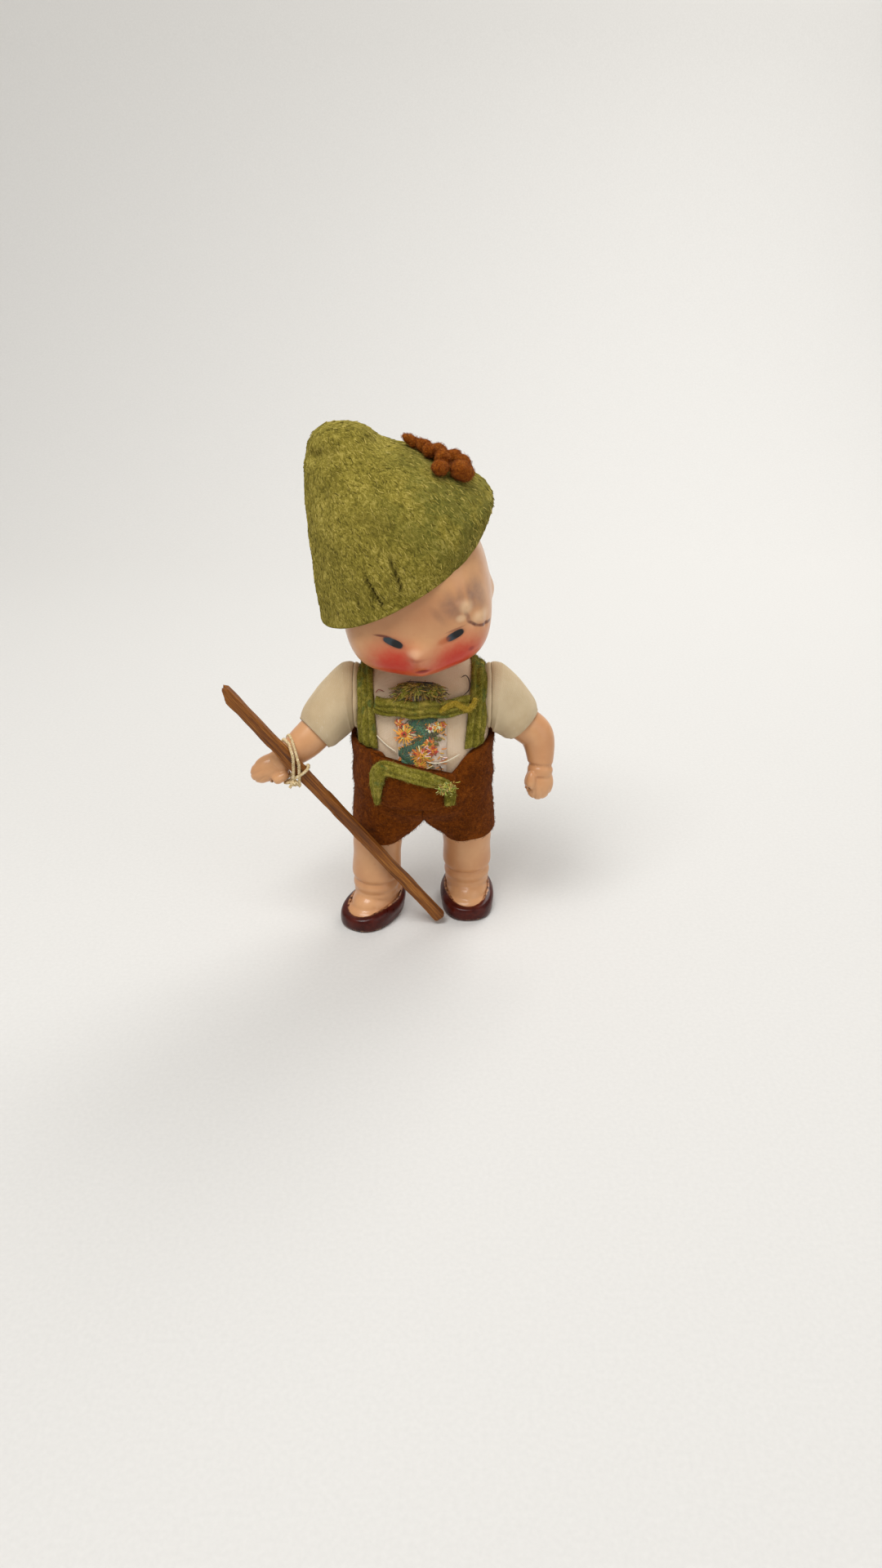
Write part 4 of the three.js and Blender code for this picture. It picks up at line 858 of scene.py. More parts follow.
# Shirt: one layer of cotton from inside the waistband to the neck, cut away at the arms
shirt = {"off": 0.88, "cloth": 0.55, "tail": 50.4, "collar": (10.4, 8.6), "armhole": 7.3, "shoulder": 72.5,
         "top": 84.3, "around": 150, "rows": 68}
turns = fullTurn(shirt["around"])
levels = np.linspace(shirt["tail"], shirt["top"], shirt["rows"])
shirtGrid = np.array([squaredRing(turns, *bodyAt(z, shirt["off"]), z) for z in levels])
shirtGrid += gridNormals(shirtGrid, True) * (0.1 * ripple(shirtGrid * [1, 1, 0.4], 3.5, 5.0) - 0.05)[..., None]


def openInShirt(i, j):
    x, y, z = shirtGrid[i:i + 2, [j, (j + 1) % shirt["around"]]].mean((0, 1))
    arm = abs(x) > 12 and y * y + (z - shirt["shoulder"]) ** 2 < shirt["armhole"] ** 2
    return arm or (x / shirt["collar"][0]) ** 2 + (y / shirt["collar"][1]) ** 2 < 1


points, faces, uv, _, girth = lofted(shirtGrid, skip=openInShirt)
shirtPiece = felted("shirt_cloth", points, faces, shirt["cloth"], shirtCotton, uv)
wearing(shirtPiece, "torso", "shirt_cloth", "shirt")
girth * mm

# Armhole seams: the shirt's cloth drawn out in a roll to meet each sleeve
armhole = {"around": 120, "profile": [  # place along X, radius
    (19.9, 7.5), (19.9, 9.2), (19.8, 9.45), (19.5, 9.58), (19.0, 9.5), (18.4, 9.0), (17.7, 8.1), (17.6, 7.5)]}
turns = fullTurn(armhole["around"])
for side, name in sides:
    rings = []
    for x, r in evenly(spline(armhole["profile"], np.linspace(0, 1, 90)), 30):
        r = r + 0.12 * np.sin(9 * turns + side) * smoothStep(8.0, 9.4, r)
        rings.append(ringAcross(turns, side * x, r, shirt["shoulder"]))
    seamPiece = closedLoft("armhole_" + name + "_cloth", rings, sleeveCotton, closedAlong=True)
    wearing(seamPiece, "torso", "shirt_cloth")

# Braces: rolled felt strips over the shoulders, further apart in front than behind
braces = {"width": 4.9, "inner": {1: 12.1, -1: 12.7}, "spread": {1: 2.2, -1: 1.5}, "behind": 4.8, "foot": 61.4,
          "shoulder": 84, "off": 1.22, "thick": 1.75, "swell": 0.4, "across": 29,
          "creases": ((-0.2, 0.6), (0.16, 0.5), (0.36, 0.3))}


def braceColumn(side, u):
    wide = braces["width"]
    zs = np.linspace(braces["foot"], 85.0, 1200)
    spread = braces["spread"][side] * (zs - braces["foot"]) / (braces["shoulder"] - braces["foot"])
    front = braces["inner"][side] + spread + (u + 0.5) * wide
    top = np.argmax(front >= bodyAt(zs, braces["off"])[0])
    run = braces["foot"] + (zs[top] - braces["foot"]) * np.sin(np.linspace(0, math.pi / 2, 400))
    xs = np.interp(run, zs, front)
    back = braces["behind"] + (u + 0.5) * wide
    share = (run - braces["foot"]) / (zs[top] - braces["foot"])
    xb = back + (xs[-1] - back) * share ** 0.9
    up = evenly(onFront(side * xs, run, braces["off"]), 96)
    down = evenly(onFront(side * xb, run, braces["off"], 1)[::-1], 80)
    return np.concatenate([up, down[1:]])


for side, name in sides:
    skin = np.stack([braceColumn(side, u) for u in acrossBand(braces["across"])], 1)
    fuller = 1 + braces["swell"] * (1 - smoothStep(68, 77, skin[..., 2])) * (skin[..., 1] < 0)
    rolledFelt("brace_" + name, "brace_" + name, skin, braces, ends=7, edge=3.0, seed=4.0 * side, grain=(0, -0.2, 1),
               napSeed=11 + side, fuller=fuller)

# Chest bar between the braces
chestBar = {"reach": 13.5, "z": 75.1, "sag": 0.7, "width": 4.9, "off": 2.22, "thick": 1.8, "across": 29,
            "rows": 90, "creases": ((-0.26, 0.5), (0.12, 0.45))}
barX = np.linspace(-chestBar["reach"], chestBar["reach"], chestBar["rows"])
barZ = chestBar["z"] - chestBar["sag"] * np.cos(barX / chestBar["reach"] * 1.4) + 0.25 * np.sin(barX * 0.7)
barWidths = np.full(chestBar["rows"], chestBar["width"])
skin = bandOnFront(np.stack([barX, barZ], 1), barWidths, chestBar["off"], chestBar["across"])
rolledFelt("chest_bar", "chest_bar", skin, chestBar, ends=5, edge=3.0, seed=2.5, grain=(1, 0, 0), napSeed=21)
print("shirt and braces made")

# Shorts: each half a felt seat and leg about the leg's own middle
shorts = {"off": 2.7, "felt": 1.5, "apart": 12.1, "halfWidth": 10.2, "halfDepth": 10.8, "hip": 44.0, "drop": 15.0,
          "hem": 28.2, "hemOutside": 1.1, "fork": 34.7, "slope": 0.68, "forkSquareness": 4.5, "waist": 61.2,
          "dip": 8.0, "dips": {1: (5.6, 16.6), -1: (6.9, 12.5)}, "around": 148, "rows": 84, "seam": -0.22,
          "forward": {1: 0.72, -1: -1.38}, "soft": 0.7}


def shortsReach(side, angles, z):  # how far the half reaches from its leg's middle, and that middle's Y
    step = np.clip((shorts["hip"] - z) / shorts["drop"], 0, 1.1)
    sway = shorts["forward"][side] * step
    c, s = np.cos(angles), np.sin(angles)
    inwards = np.maximum(shorts["apart"] + shorts["slope"] * (z - shorts["fork"]), 6.6)
    inner = side * c < 0
    a = np.where(inner, inwards, shorts["halfWidth"] * (0.85 + 0.15 * step))
    n = np.where(inner, 2 + (shorts["forkSquareness"] - 2) * smoothStep(shorts["fork"] - 6, shorts["fork"], z), 2)
    b = shorts["halfDepth"] * (1.33 - 0.33 * step)
    leg = np.where(z < shorts["hip"] + 4, ((np.abs(c) / a) ** n + (np.abs(s) / b) ** n) ** (-1 / n), 1.0)
    wide, deep = bodyAt(z, shorts["off"])
    reach = np.full_like(c, 1.0)
    for k in range(26):  # halving towards the body's section
        further = reach + 16.0 / 2 ** k
        x, y = side * shorts["apart"] + further * c, sway + further * s
        inside = np.abs(x / wide) ** body["squareness"] + np.abs(y / deep) ** body["squareness"] < 1
        reach = np.where(inside, further, reach)
    seat = smoothStep(shorts["fork"] + 0.5, shorts["fork"] + 7.0, z)
    reach = np.where(reach > leg, leg + (reach - leg) * seat, reach)
    seam = np.where(side * c < -1e-3, (shorts["apart"] - shorts["seam"]) / np.maximum(-side * c, 1e-3), 99.0)
    reach = np.minimum(reach, seam)
    h = np.clip(0.5 + 0.5 * (reach - leg) / shorts["soft"], 0, 1)
    whole = leg * (1 - h) + reach * h + shorts["soft"] * h * (1 - h)
    return np.minimum(whole, seam), sway


for side, name in sides:
    angles = fullTurn(shorts["around"]) * side
    topReach, _ = shortsReach(side, angles, np.full_like(angles, 57.0))
    topX = side * shorts["apart"] + topReach * np.cos(angles)
    front = np.sin(angles) < 0
    dipped = 1 - smoothStep(*shorts["dips"][side], np.abs(topX))
    tops = shorts["waist"] - np.where(front, shorts["dip"] * dipped, 0)
    hemReach, _ = shortsReach(side, angles, np.full_like(angles, 31.0))
    hemX = np.abs(side * shorts["apart"] + hemReach * np.cos(angles))
    hems = shorts["hem"] + shorts["hemOutside"] * smoothStep(17, 22, hemX)
    hems = hems + 1.5 * (1 - smoothStep(2.5, 8.0, hemX)) + 0.25 * np.sin(5 * angles + side)
    grid = []
    for share in np.linspace(0, 1, shorts["rows"]):
        z = hems + (tops - hems) * share
        reach, sway = shortsReach(side, angles, z)
        grid.append(np.stack([side * shorts["apart"] + reach * np.cos(angles), sway + reach * np.sin(angles), z], 1))
    grid = np.array(grid)
    onSeam = side * grid[..., 0] < shorts["seam"] + 0.005
    lump = 0.3 * ripple(grid, 7.0, 3.0 + side) + 0.14 * ripple(grid, 2.2, 8.0)
    normals = gridNormals(grid, True) * side
    grid = grid + normals * ((lump - 0.12) * smoothStep(shorts["seam"] + 0.01, 1.2, side * grid[..., 0]))[..., None]

    def openInShorts(i, j):
        pair = [j, (j + 1) % shorts["around"]]
        return bool(np.all(onSeam[i:i + 2][:, pair]))

    points, faces, uv, _, girth = lofted(grid, skip=openInShorts)
    if side < 0:
        faces = [f[::-1] for f in faces]
        uv = [corner for k in range(0, len(uv), 4) for corner in uv[k:k + 4][::-1]]
    half = felted("shorts_" + name + "_felt", points, faces, shorts["felt"], brownFelt, uv)
    fibres = grown("shorts_" + name + "_nap", half.data, nap, Density=1.4e6, Length=0.0009, Thickness=0.04, Spread=1.4,
                   Rise=0.16, Lift=1.0, Grain=(0.3, 0, -1), Seed=31 + side, Finish=brownNap)
    bends = [inFrame(p)[0] for p in ((4.0 * side, 0, 38.0), (12.0 * side, 0, 29.0))]
    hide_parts("shorts_" + name + "_half")
    for one in (half, fibres):
        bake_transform(one)
print("shorts made")

# Fall flap: a bulging felt panel that hangs a little askew, with a felt edging on its top and sides
flap = {"right": -14.9, "left": 9.5, "top": 60.9, "slant": 5.5, "foot": 44.4, "off": 3.0, "thick": 1.5, "bulge": 1.1,
        "across": 61, "rows": 56, "squareness": 9}


def flapShare(x):
    return (x - flap["right"]) / (flap["left"] - flap["right"])


def flapBulge(x, z):
    u = np.clip(1 - (2 * flapShare(x) - 1) ** 2, 0, 1)
    v = np.clip((z - flap["foot"]) / (flap["top"] - flap["foot"]), 0, 1)
    return flap["bulge"] * u * np.sin(math.pi * np.clip(1.1 * v, 0, 1)) ** 1.2


us = 0.5 + acrossBand(flap["across"])
flapX = flap["right"] + us * (flap["left"] - flap["right"])
flapTops = flap["top"] - flap["slant"] * us
flapFeet = flap["foot"] - 0.6 + 3.4 * np.abs(2 * us - 1) ** 3
vs = 0.5 + acrossBand(flap["rows"])
flapZ = flapFeet[None] + (flapTops - flapFeet)[None] * vs[:, None]
flapGrid = np.broadcast_to(flapX[None], flapZ.shape)
skin = onFront(flapGrid, flapZ, flap["off"])
skin = skin + np.array([0, -1, 0]) * flapBulge(flapGrid, flapZ)[..., None]
high = flap["thick"] * domed(us - 0.5, flap["squareness"])[None] * domed(vs - 0.5, flap["squareness"])[:, None]
high = high * (1 + 0.12 * ripple(skin, 4.0, 6.0) + 0.06 * ripple(skin, 1.6, 2.0))
flapPiece = wearing(feltBand("flap_panel_felt", skin, high, brownFelt), "torso", "brown_felt", "flap_panel")
napOn(flapPiece, "flap_panel_nap", "torso", "brown_felt", brownNap, density=2.6, length=0.8, grain=(0.3, 0, -1),
      seed=41, spread=1.4)

flapEdging = {"off": 4.82, "thick": 1.5, "width": 4.0, "across": 23, "rows": 150,
              "creases": ((-0.2, 0.3), (0.2, 0.4)), "line": [
    (-12.9, 45.6), (-13.0, 49.5), (-12.9, 53.4), (-12.4, 56.2), (-10.6, 57.9), (-7.6, 57.7), (-3.0, 56.6), (2.0, 55.3),
    (5.6, 54.0), (7.5, 52.4), (7.9, 50.0), (7.8, 47.9), (7.7, 46.3)],
    "widths": [1.0, 2.3, 3.4, 4.3, 4.6, 4.3, 4.0, 4.3, 4.2, 3.5, 3.1, 3.3, 2.7]}
edgeLine = evenly(spline(flapEdging["line"], np.linspace(0, 1, 300)), flapEdging["rows"])
edgeWidths = widthsAlong(flapEdging["widths"], flapEdging["rows"])
skin = bandOnFront(edgeLine, edgeWidths, flapEdging["off"], flapEdging["across"])
skin = skin + np.array([0, -1, 0]) * flapBulge(skin[..., 0], skin[..., 2])[..., None]
rolledFelt("flap_edging", "flap_trim", skin, flapEdging, ends=4, edge=4.0, seed=7.5, grain=(1, 0, -0.3), napSeed=44)
print("flap made")

# Head: a squared ball with a deeper crown than jaw, swelled by its features, on a ball neck
head = {"centre": (-1.6, 0.0, 103.5), "tilt": -7.0, "halves": (21.0, 21.0), "crown": 24.0, "jaw": 17.3,
        "squareness": 2.5, "neckBall": (0.0, 0.0, 87.36), "neckRadius": 8.0, "neckSoft": 1.2,
        "around": 260, "rows": 170,
        "bores": [(60, 92.06, 3.2), (91.46, 99.2, 5.5)],  # for the elastic, and for the neck button over it
        "features": [  # direction, height and spread of each
            *[(s * x, y, z, h, w) for s in (-1, 1) for x, y, z, h, w in (
                (0.56, -0.63, -0.54, 3.4, 0.42), (0.4, -0.88, -0.22, -0.9, 0.2), (0.97, 0.22, -0.1, 1.2, 0.17))],
            (0, -0.9, -0.43, 1.9, 0.12), (0, -0.72, -0.69, 4.0, 0.34), (0.55, -0.8, 0.25, 1.1, 0.26)],
        "relief": [  # the finer moulding of nose, brow, lips and forelock, at places on the face in mm
            (-1.0, -22.4, -9.6, 0.8, 0.075), (-2.4, -21.8, -10.4, -0.25, 0.05), (0.6, -21.8, -10.4, -0.25, 0.05),
            (-0.2, -20.4, -15.4, -0.5, 0.05), (-0.2, -21.0, -14.2, 0.45, 0.06), (-0.2, -19.6, -16.7, 0.5, 0.07),
            (-6.6, -20.4, -3.4, 0.35, 0.1), (9.6, -19.9, -3.2, 0.35, 0.1),
            (13.9, -18.6, 0.9, 0.55, 0.07), (17.3, -15.9, -3.0, 0.65, 0.085), (11.0, -19.8, 1.2, 0.4, 0.06),
            (14.6, -18.0, -3.9, -0.45, 0.035), (16.4, -17.0, -5.1, -0.45, 0.035), (18.4, -14.0, -5.8, -0.45, 0.035),
            (12.4, -19.4, 3.4, -0.3, 0.04), (15.4, -17.0, 2.6, -0.3, 0.04), (8.8, -20.5, 2.2, -0.25, 0.04)]}
tilt = math.radians(head["tilt"])
headTurn = np.array([[math.cos(tilt), 0, math.sin(tilt)], [0, 1, 0], [-math.sin(tilt), 0, math.cos(tilt)]])
headCentre = np.array(head["centre"])


def headReach(way, fine=False):
    across, deep = (np.full(way.shape[:-1], half) for half in head["halves"])
    halves = np.stack([across, deep, np.where(way[..., 2] > 0, head["crown"], head["jaw"])], -1)
    reach = np.sum(np.abs(way / halves) ** head["squareness"], -1) ** (-1 / head["squareness"])
    for x, y, z, height, spread in head["features"] + (head["relief"] if fine else []):
        apart = np.arccos(np.clip(way @ unit((x, y, z)), -1, 1))
        reach = reach + height * np.exp(-((apart / spread) ** 2))
    return reach


polar = np.linspace(0.015, math.pi - 0.015, head["rows"])[:, None]
spin = fullTurn(head["around"])[None]
ways = np.stack([np.sin(polar) * np.cos(spin), np.sin(polar) * np.sin(spin), -np.cos(polar) + 0 * spin], -1)
reach = headReach(ways, True)
ball = (np.array(head["neckBall"]) - headCentre) @ headTurn
ballFar = np.linalg.norm(ball)
towards = ways @ unit(ball)
within = head["neckRadius"] ** 2 - ballFar ** 2 * (1 - towards ** 2)
neck = np.where((within > 0) & (towards > 0), ballFar * towards + np.sqrt(np.maximum(within, 0)), 0)
ease = np.clip(0.5 + 0.5 * (neck - reach) / head["neckSoft"], 0, 1)
reach = reach * (1 - ease) + neck * ease + head["neckSoft"] * ease * (1 - ease) * 0.6
headLocal = ways * reach[..., None]
headPaint = composition("head_paint", facePaint)
headPiece = closedLoft("head_cast", headLocal @ headTurn.T + headCentre, headPaint)
headPiece = carve(headPiece, *[rod((0, 0, low), (0, 0, top), radius) for low, top, radius in head["bores"]])
wearing(headPiece, "head", "painted_composition", "head")
print("head made")

# Hat: thick felt in leaning sections from brim to peak
hat = {"halfWidth": 26.7, "halfDepth": 23.9, "height": 39.5, "lean": 16.3, "side": 5.6, "rise": 7.2, "nod": 9.0,
       "felt": 2.3, "clear": 0.4, "around": 240, "rows": 130, "stations": [  # height, lean, width, tilt
           (0, 0, 0.985, 29), (0.12, -0.03, 1, 26), (0.27, -0.02, 0.99, 22), (0.5, 0.2, 0.86, 17),
           (0.68, 0.56, 0.64, 16), (0.82, 0.86, 0.44, 15), (0.93, 0.97, 0.31, 11), (0.985, 1, 0.17, 6),
           (1, 1, 0.05, 3)],
       "slits": [  # turn and share up the hat at both ends, width, depth
           ((101, 0.07), (112, 0.25), 0.8, 1.3), ((89, 0.11), (95, 0.28), 0.8, 1.4),
           ((117, 0.1), (119, 0.15), 0.7, 0.6)],
       "dents": [  # turn, share up the hat, spread in each, depth
           (142, 0.68, 30, 0.035, 1.9), (12, 0.66, 48, 0.085, 1.5), (60, 0.6, 40, 0.09, 0.5)]}
hatSpans = len(hat["stations"]) - 1
hatSteps = np.linspace(0, 1, 100 * hatSpans + 1)
hatCurve = spline([(l * hat["lean"], w, h * hat["height"]) for h, l, w, _ in hat["stations"]], hatSteps)
hatTilts = np.array([t for *_, t in hat["stations"]], float)


def hatRing(share, inset, turn):
    leanAt, width, height = (np.interp(share, hatSteps, hatCurve[:, k]) for k in range(3))
    k = min(int(share * hatSpans), hatSpans - 1)
    w = share * hatSpans - k
    p0, p1, p2, p3 = (hatTilts[np.clip(k + d, 0, hatSpans)] for d in (-1, 0, 1, 2))
    v0, v1 = (p2 - p0) / 2, (p3 - p1) / 2
    tip = math.radians((2 * p1 - 2 * p2 + v0 + v1) * w ** 3 + (-3 * p1 + 3 * p2 - 2 * v0 - v1) * w * w + v0 * w + p1)
    nod = math.radians(hat["nod"] * (1 - share))
    left = max(width * hat["halfWidth"] - inset, 0.4 * width * hat["halfWidth"])
    front = max(width * hat["halfDepth"] - inset, 0.4 * width * hat["halfDepth"])
    middle = np.array([-hat["side"] - leanAt, 0, headCentre[2] + hat["rise"] + height - share * inset])
    first = np.array([left * math.cos(tip), 0, left * math.sin(tip)])
    second = np.array([0, -front * math.cos(nod), -front * math.sin(nod)])
    return middle + np.cos(turn)[:, None] * first + np.sin(turn)[:, None] * second


hatTurns = fullTurn(hat["around"])
hatShares = 1 - (1 - np.linspace(0, 1, hat["rows"])) ** 1.25
outer = np.array([hatRing(s, 0, hatTurns) for s in hatShares])
normals = -gridNormals(outer[:, ::-1], True)[:, ::-1]
if np.sum(normals * (outer - outer.mean((0, 1)))) < 0:
    normals = -normals
degrees = np.degrees(hatTurns)[None]
press = 0.34 * ripple(outer, 8.0, 1.0) + 0.16 * ripple(outer, 3.0, 4.0)
slitShade = np.zeros(outer.shape[:2])
for start, end, wide, deep in hat["slits"]:
    t = np.clip((hatShares - start[1]) / (end[1] - start[1]), 0, 1)[:, None]
    aside = (degrees - (start[0] + (end[0] - start[0]) * t)) * 0.44
    opens = smoothStep(start[1] - 0.02, start[1] + 0.015, hatShares)
    ends = opens * (1 - smoothStep(end[1] - 0.02, end[1] + 0.03, hatShares))
    slit = np.exp(-((aside / (0.42 * wide)) ** 2)) * ends[:, None]
    slitShade = np.maximum(slitShade, slit)
    press = press - deep * slit
    press = press + 0.3 * deep * np.exp(-(((aside - 1.3 * wide) / wide) ** 2)) * ends[:, None]
for turnAt, shareAt, turnWide, shareWide, deep in hat["dents"]:
    aside = (degrees - turnAt + 180) % 360 - 180
    press = press - deep * np.exp(-((aside / turnWide) ** 2) - ((hatShares[:, None] - shareAt) / shareWide) ** 2)
outer = outer + normals * press[..., None]
inner = np.array([hatRing(s, hat["felt"], hatTurns) for s in hatShares])
way = (inner - headCentre) @ headTurn
far = np.linalg.norm(way, axis=-1, keepdims=True)
inner = headCentre + (way / far * np.maximum(far, headReach(way / far)[..., None] + hat["clear"])) @ headTurn.T
down = -unit(np.cross(outer[0, 0] - outer[0].mean(0), outer[0, hat["around"] // 4] - outer[0].mean(0)))
down = down if down[2] < 0 else -down
edge = [inner[0] * (1 - s) + outer[0] * s + down * 0.75 * math.sin(math.pi * s) for s in (0.15, 0.35, 0.6, 0.82)]
hatRings = np.concatenate([inner[::-1], np.array(edge), outer])
hatSlitShadePaint = np.zeros_like(hatRings)
# the slits' mask, kept for the felt's colour as painted shade
hatSlitShadePaint[-len(outer):, :, 0] = slitShade
wearing(closedLoft("hat_felt_cone", hatRings, hatFelt, form=hatSlitShadePaint), "head", "hat_felt", "hat")
points, faces = lofted(outer, skip=lambda i, j: slitShade[i, j] > 0.3 or hatShares[i] < 0.02)[:2]
insideOut = np.sum(gridNormals(outer, True) * normals) < 0
hatSkin = make("hat_skin", points, [f[::-1] for f in faces] if insideOut else faces)
napOn(hatSkin, "hat_nap", "head", "hat_felt", hatNap, density=0.9, length=1.3, grain=(0.6, 0, -0.8), seed=51,
      spread=0.6, thickness=0.07, rise=0.02, lift=0.16)
bpy.data.objects.remove(hatSkin)
print("hat made")

# Tuft on the hat: curled lobes of felt
tuft = {"lobes": [  # share up the hat, turn, radii along, across and up, turn of the lobe
    (0.402, 21, (3.3, 2.7, 2.6), 25), (0.413, 7, (2.3, 2.1, 2.2), -10), (0.437, 3, (2.5, 1.9, 2.1), 40),
    (0.449, 29, (2.6, 1.9, 2.0), 60), (0.462, 15, (2.2, 2.0, 2.1), -20), (0.476, 2, (2.6, 1.8, 1.9), 15),
    (0.5, 10, (2.3, 1.7, 1.8), 50), (0.52, 3, (2.4, 1.6, 1.7), 5), (0.553, -2, (3.4, 1.4, 1.35), 14)], "lift": 0.85}
shapes = []
for share, turn, radii, yaw in tuft["lobes"]:
    t = math.radians(turn)
    spotOn = hatRing(share, 0, np.array([t]))[0]
    outwards = unit(hatRing(share, -1, np.array([t]))[0] - spotOn + np.array([0, 0, 0.7]))
    alongHat = unit(hatRing(share + 0.02, 0, np.array([t]))[0] - hatRing(share - 0.02, 0, np.array([t]))[0])
    alongHat = unit(alongHat - outwards * np.dot(alongHat, outwards))
    c, s = math.cos(math.radians(yaw)), math.sin(math.radians(yaw))
    aside = np.cross(outwards, alongHat)
    basis = np.stack([alongHat * c + aside * s, aside * c - alongHat * s, outwards], 1)
    shapes.append(lumpShape(spotOn + outwards * (0.3 + tuft["lift"] * radii[2]), radii, basis))
tuftPiece = moulded("hat_tuft_felt", shapes, voxel=0.24, passes=3, finish=rustFelt)
tuftBody = placesOf(tuftPiece) / mm
swell(tuftPiece, 0.36 * ripple(tuftBody, 1.7, 2.0) + 0.16 * ripple(tuftBody, 0.8, 5.0))
wearing(tuftPiece, "head", "tuft_felt", "hat_tuft")
napOn(tuftPiece, "hat_tuft_nap", "head", "tuft_felt", rustNap, density=10, length=0.7, grain=(0, -0.3, 1), seed=61,
      spread=3.1, thickness=0.035)
print("tuft made")

# Arms: bent castings with mitten hands, and cotton sleeves about them
shoulderX, shoulderZ = 20.25, 72.5
arms = {
    "left": {"side": 1, "upper": (18.5, 47, 6), "fore": (9, 8, 18), "hand": (9.5, -4, 14),  # length, splay, swing
             "sleeve": 13, "palm": (1.0, 1.0), "thumb": (0.3, 0.1)},
    "right": {"side": -1, "upper": (20, 45, 34), "fore": (7.5, 50, 35), "hand": (9.5, 60, 24),
              "sleeve": 16, "palm": (0.9, 1.1), "thumb": (0.4, 0.17)}}
limb = {"shoulder": 6.6, "upperArm": 5.4, "wrist": 3.7, "handWidth": 8.8, "handThick": 6.6, "seat": 19.2,
        "armhole": 11.0, "snug": 6.0, "cloth": 0.8, "around": 120, "rows": 44,
        "elastic": (10, 22.2), "knot": (22.19, 45)}


def heading(side, run):
    length, splay, swing = run[0], math.radians(run[1]), math.radians(run[2])
    fall = length * math.cos(splay)
    return np.array([side * length * math.sin(splay), -fall * math.sin(swing), -fall * math.cos(swing)])


def armJoints(arm):
    shoulder = np.array([arm["side"] * shoulderX, 0, shoulderZ])
    elbow = shoulder + heading(arm["side"], arm["upper"])
    wrist = elbow + heading(arm["side"], arm["fore"])
    return shoulder, elbow, wrist, wrist + heading(arm["side"], arm["hand"])


def turnFrom(a, b):  # the shortest turn from one direction to another
    return np.array(Vector(a).rotation_difference(Vector(b)).to_matrix())


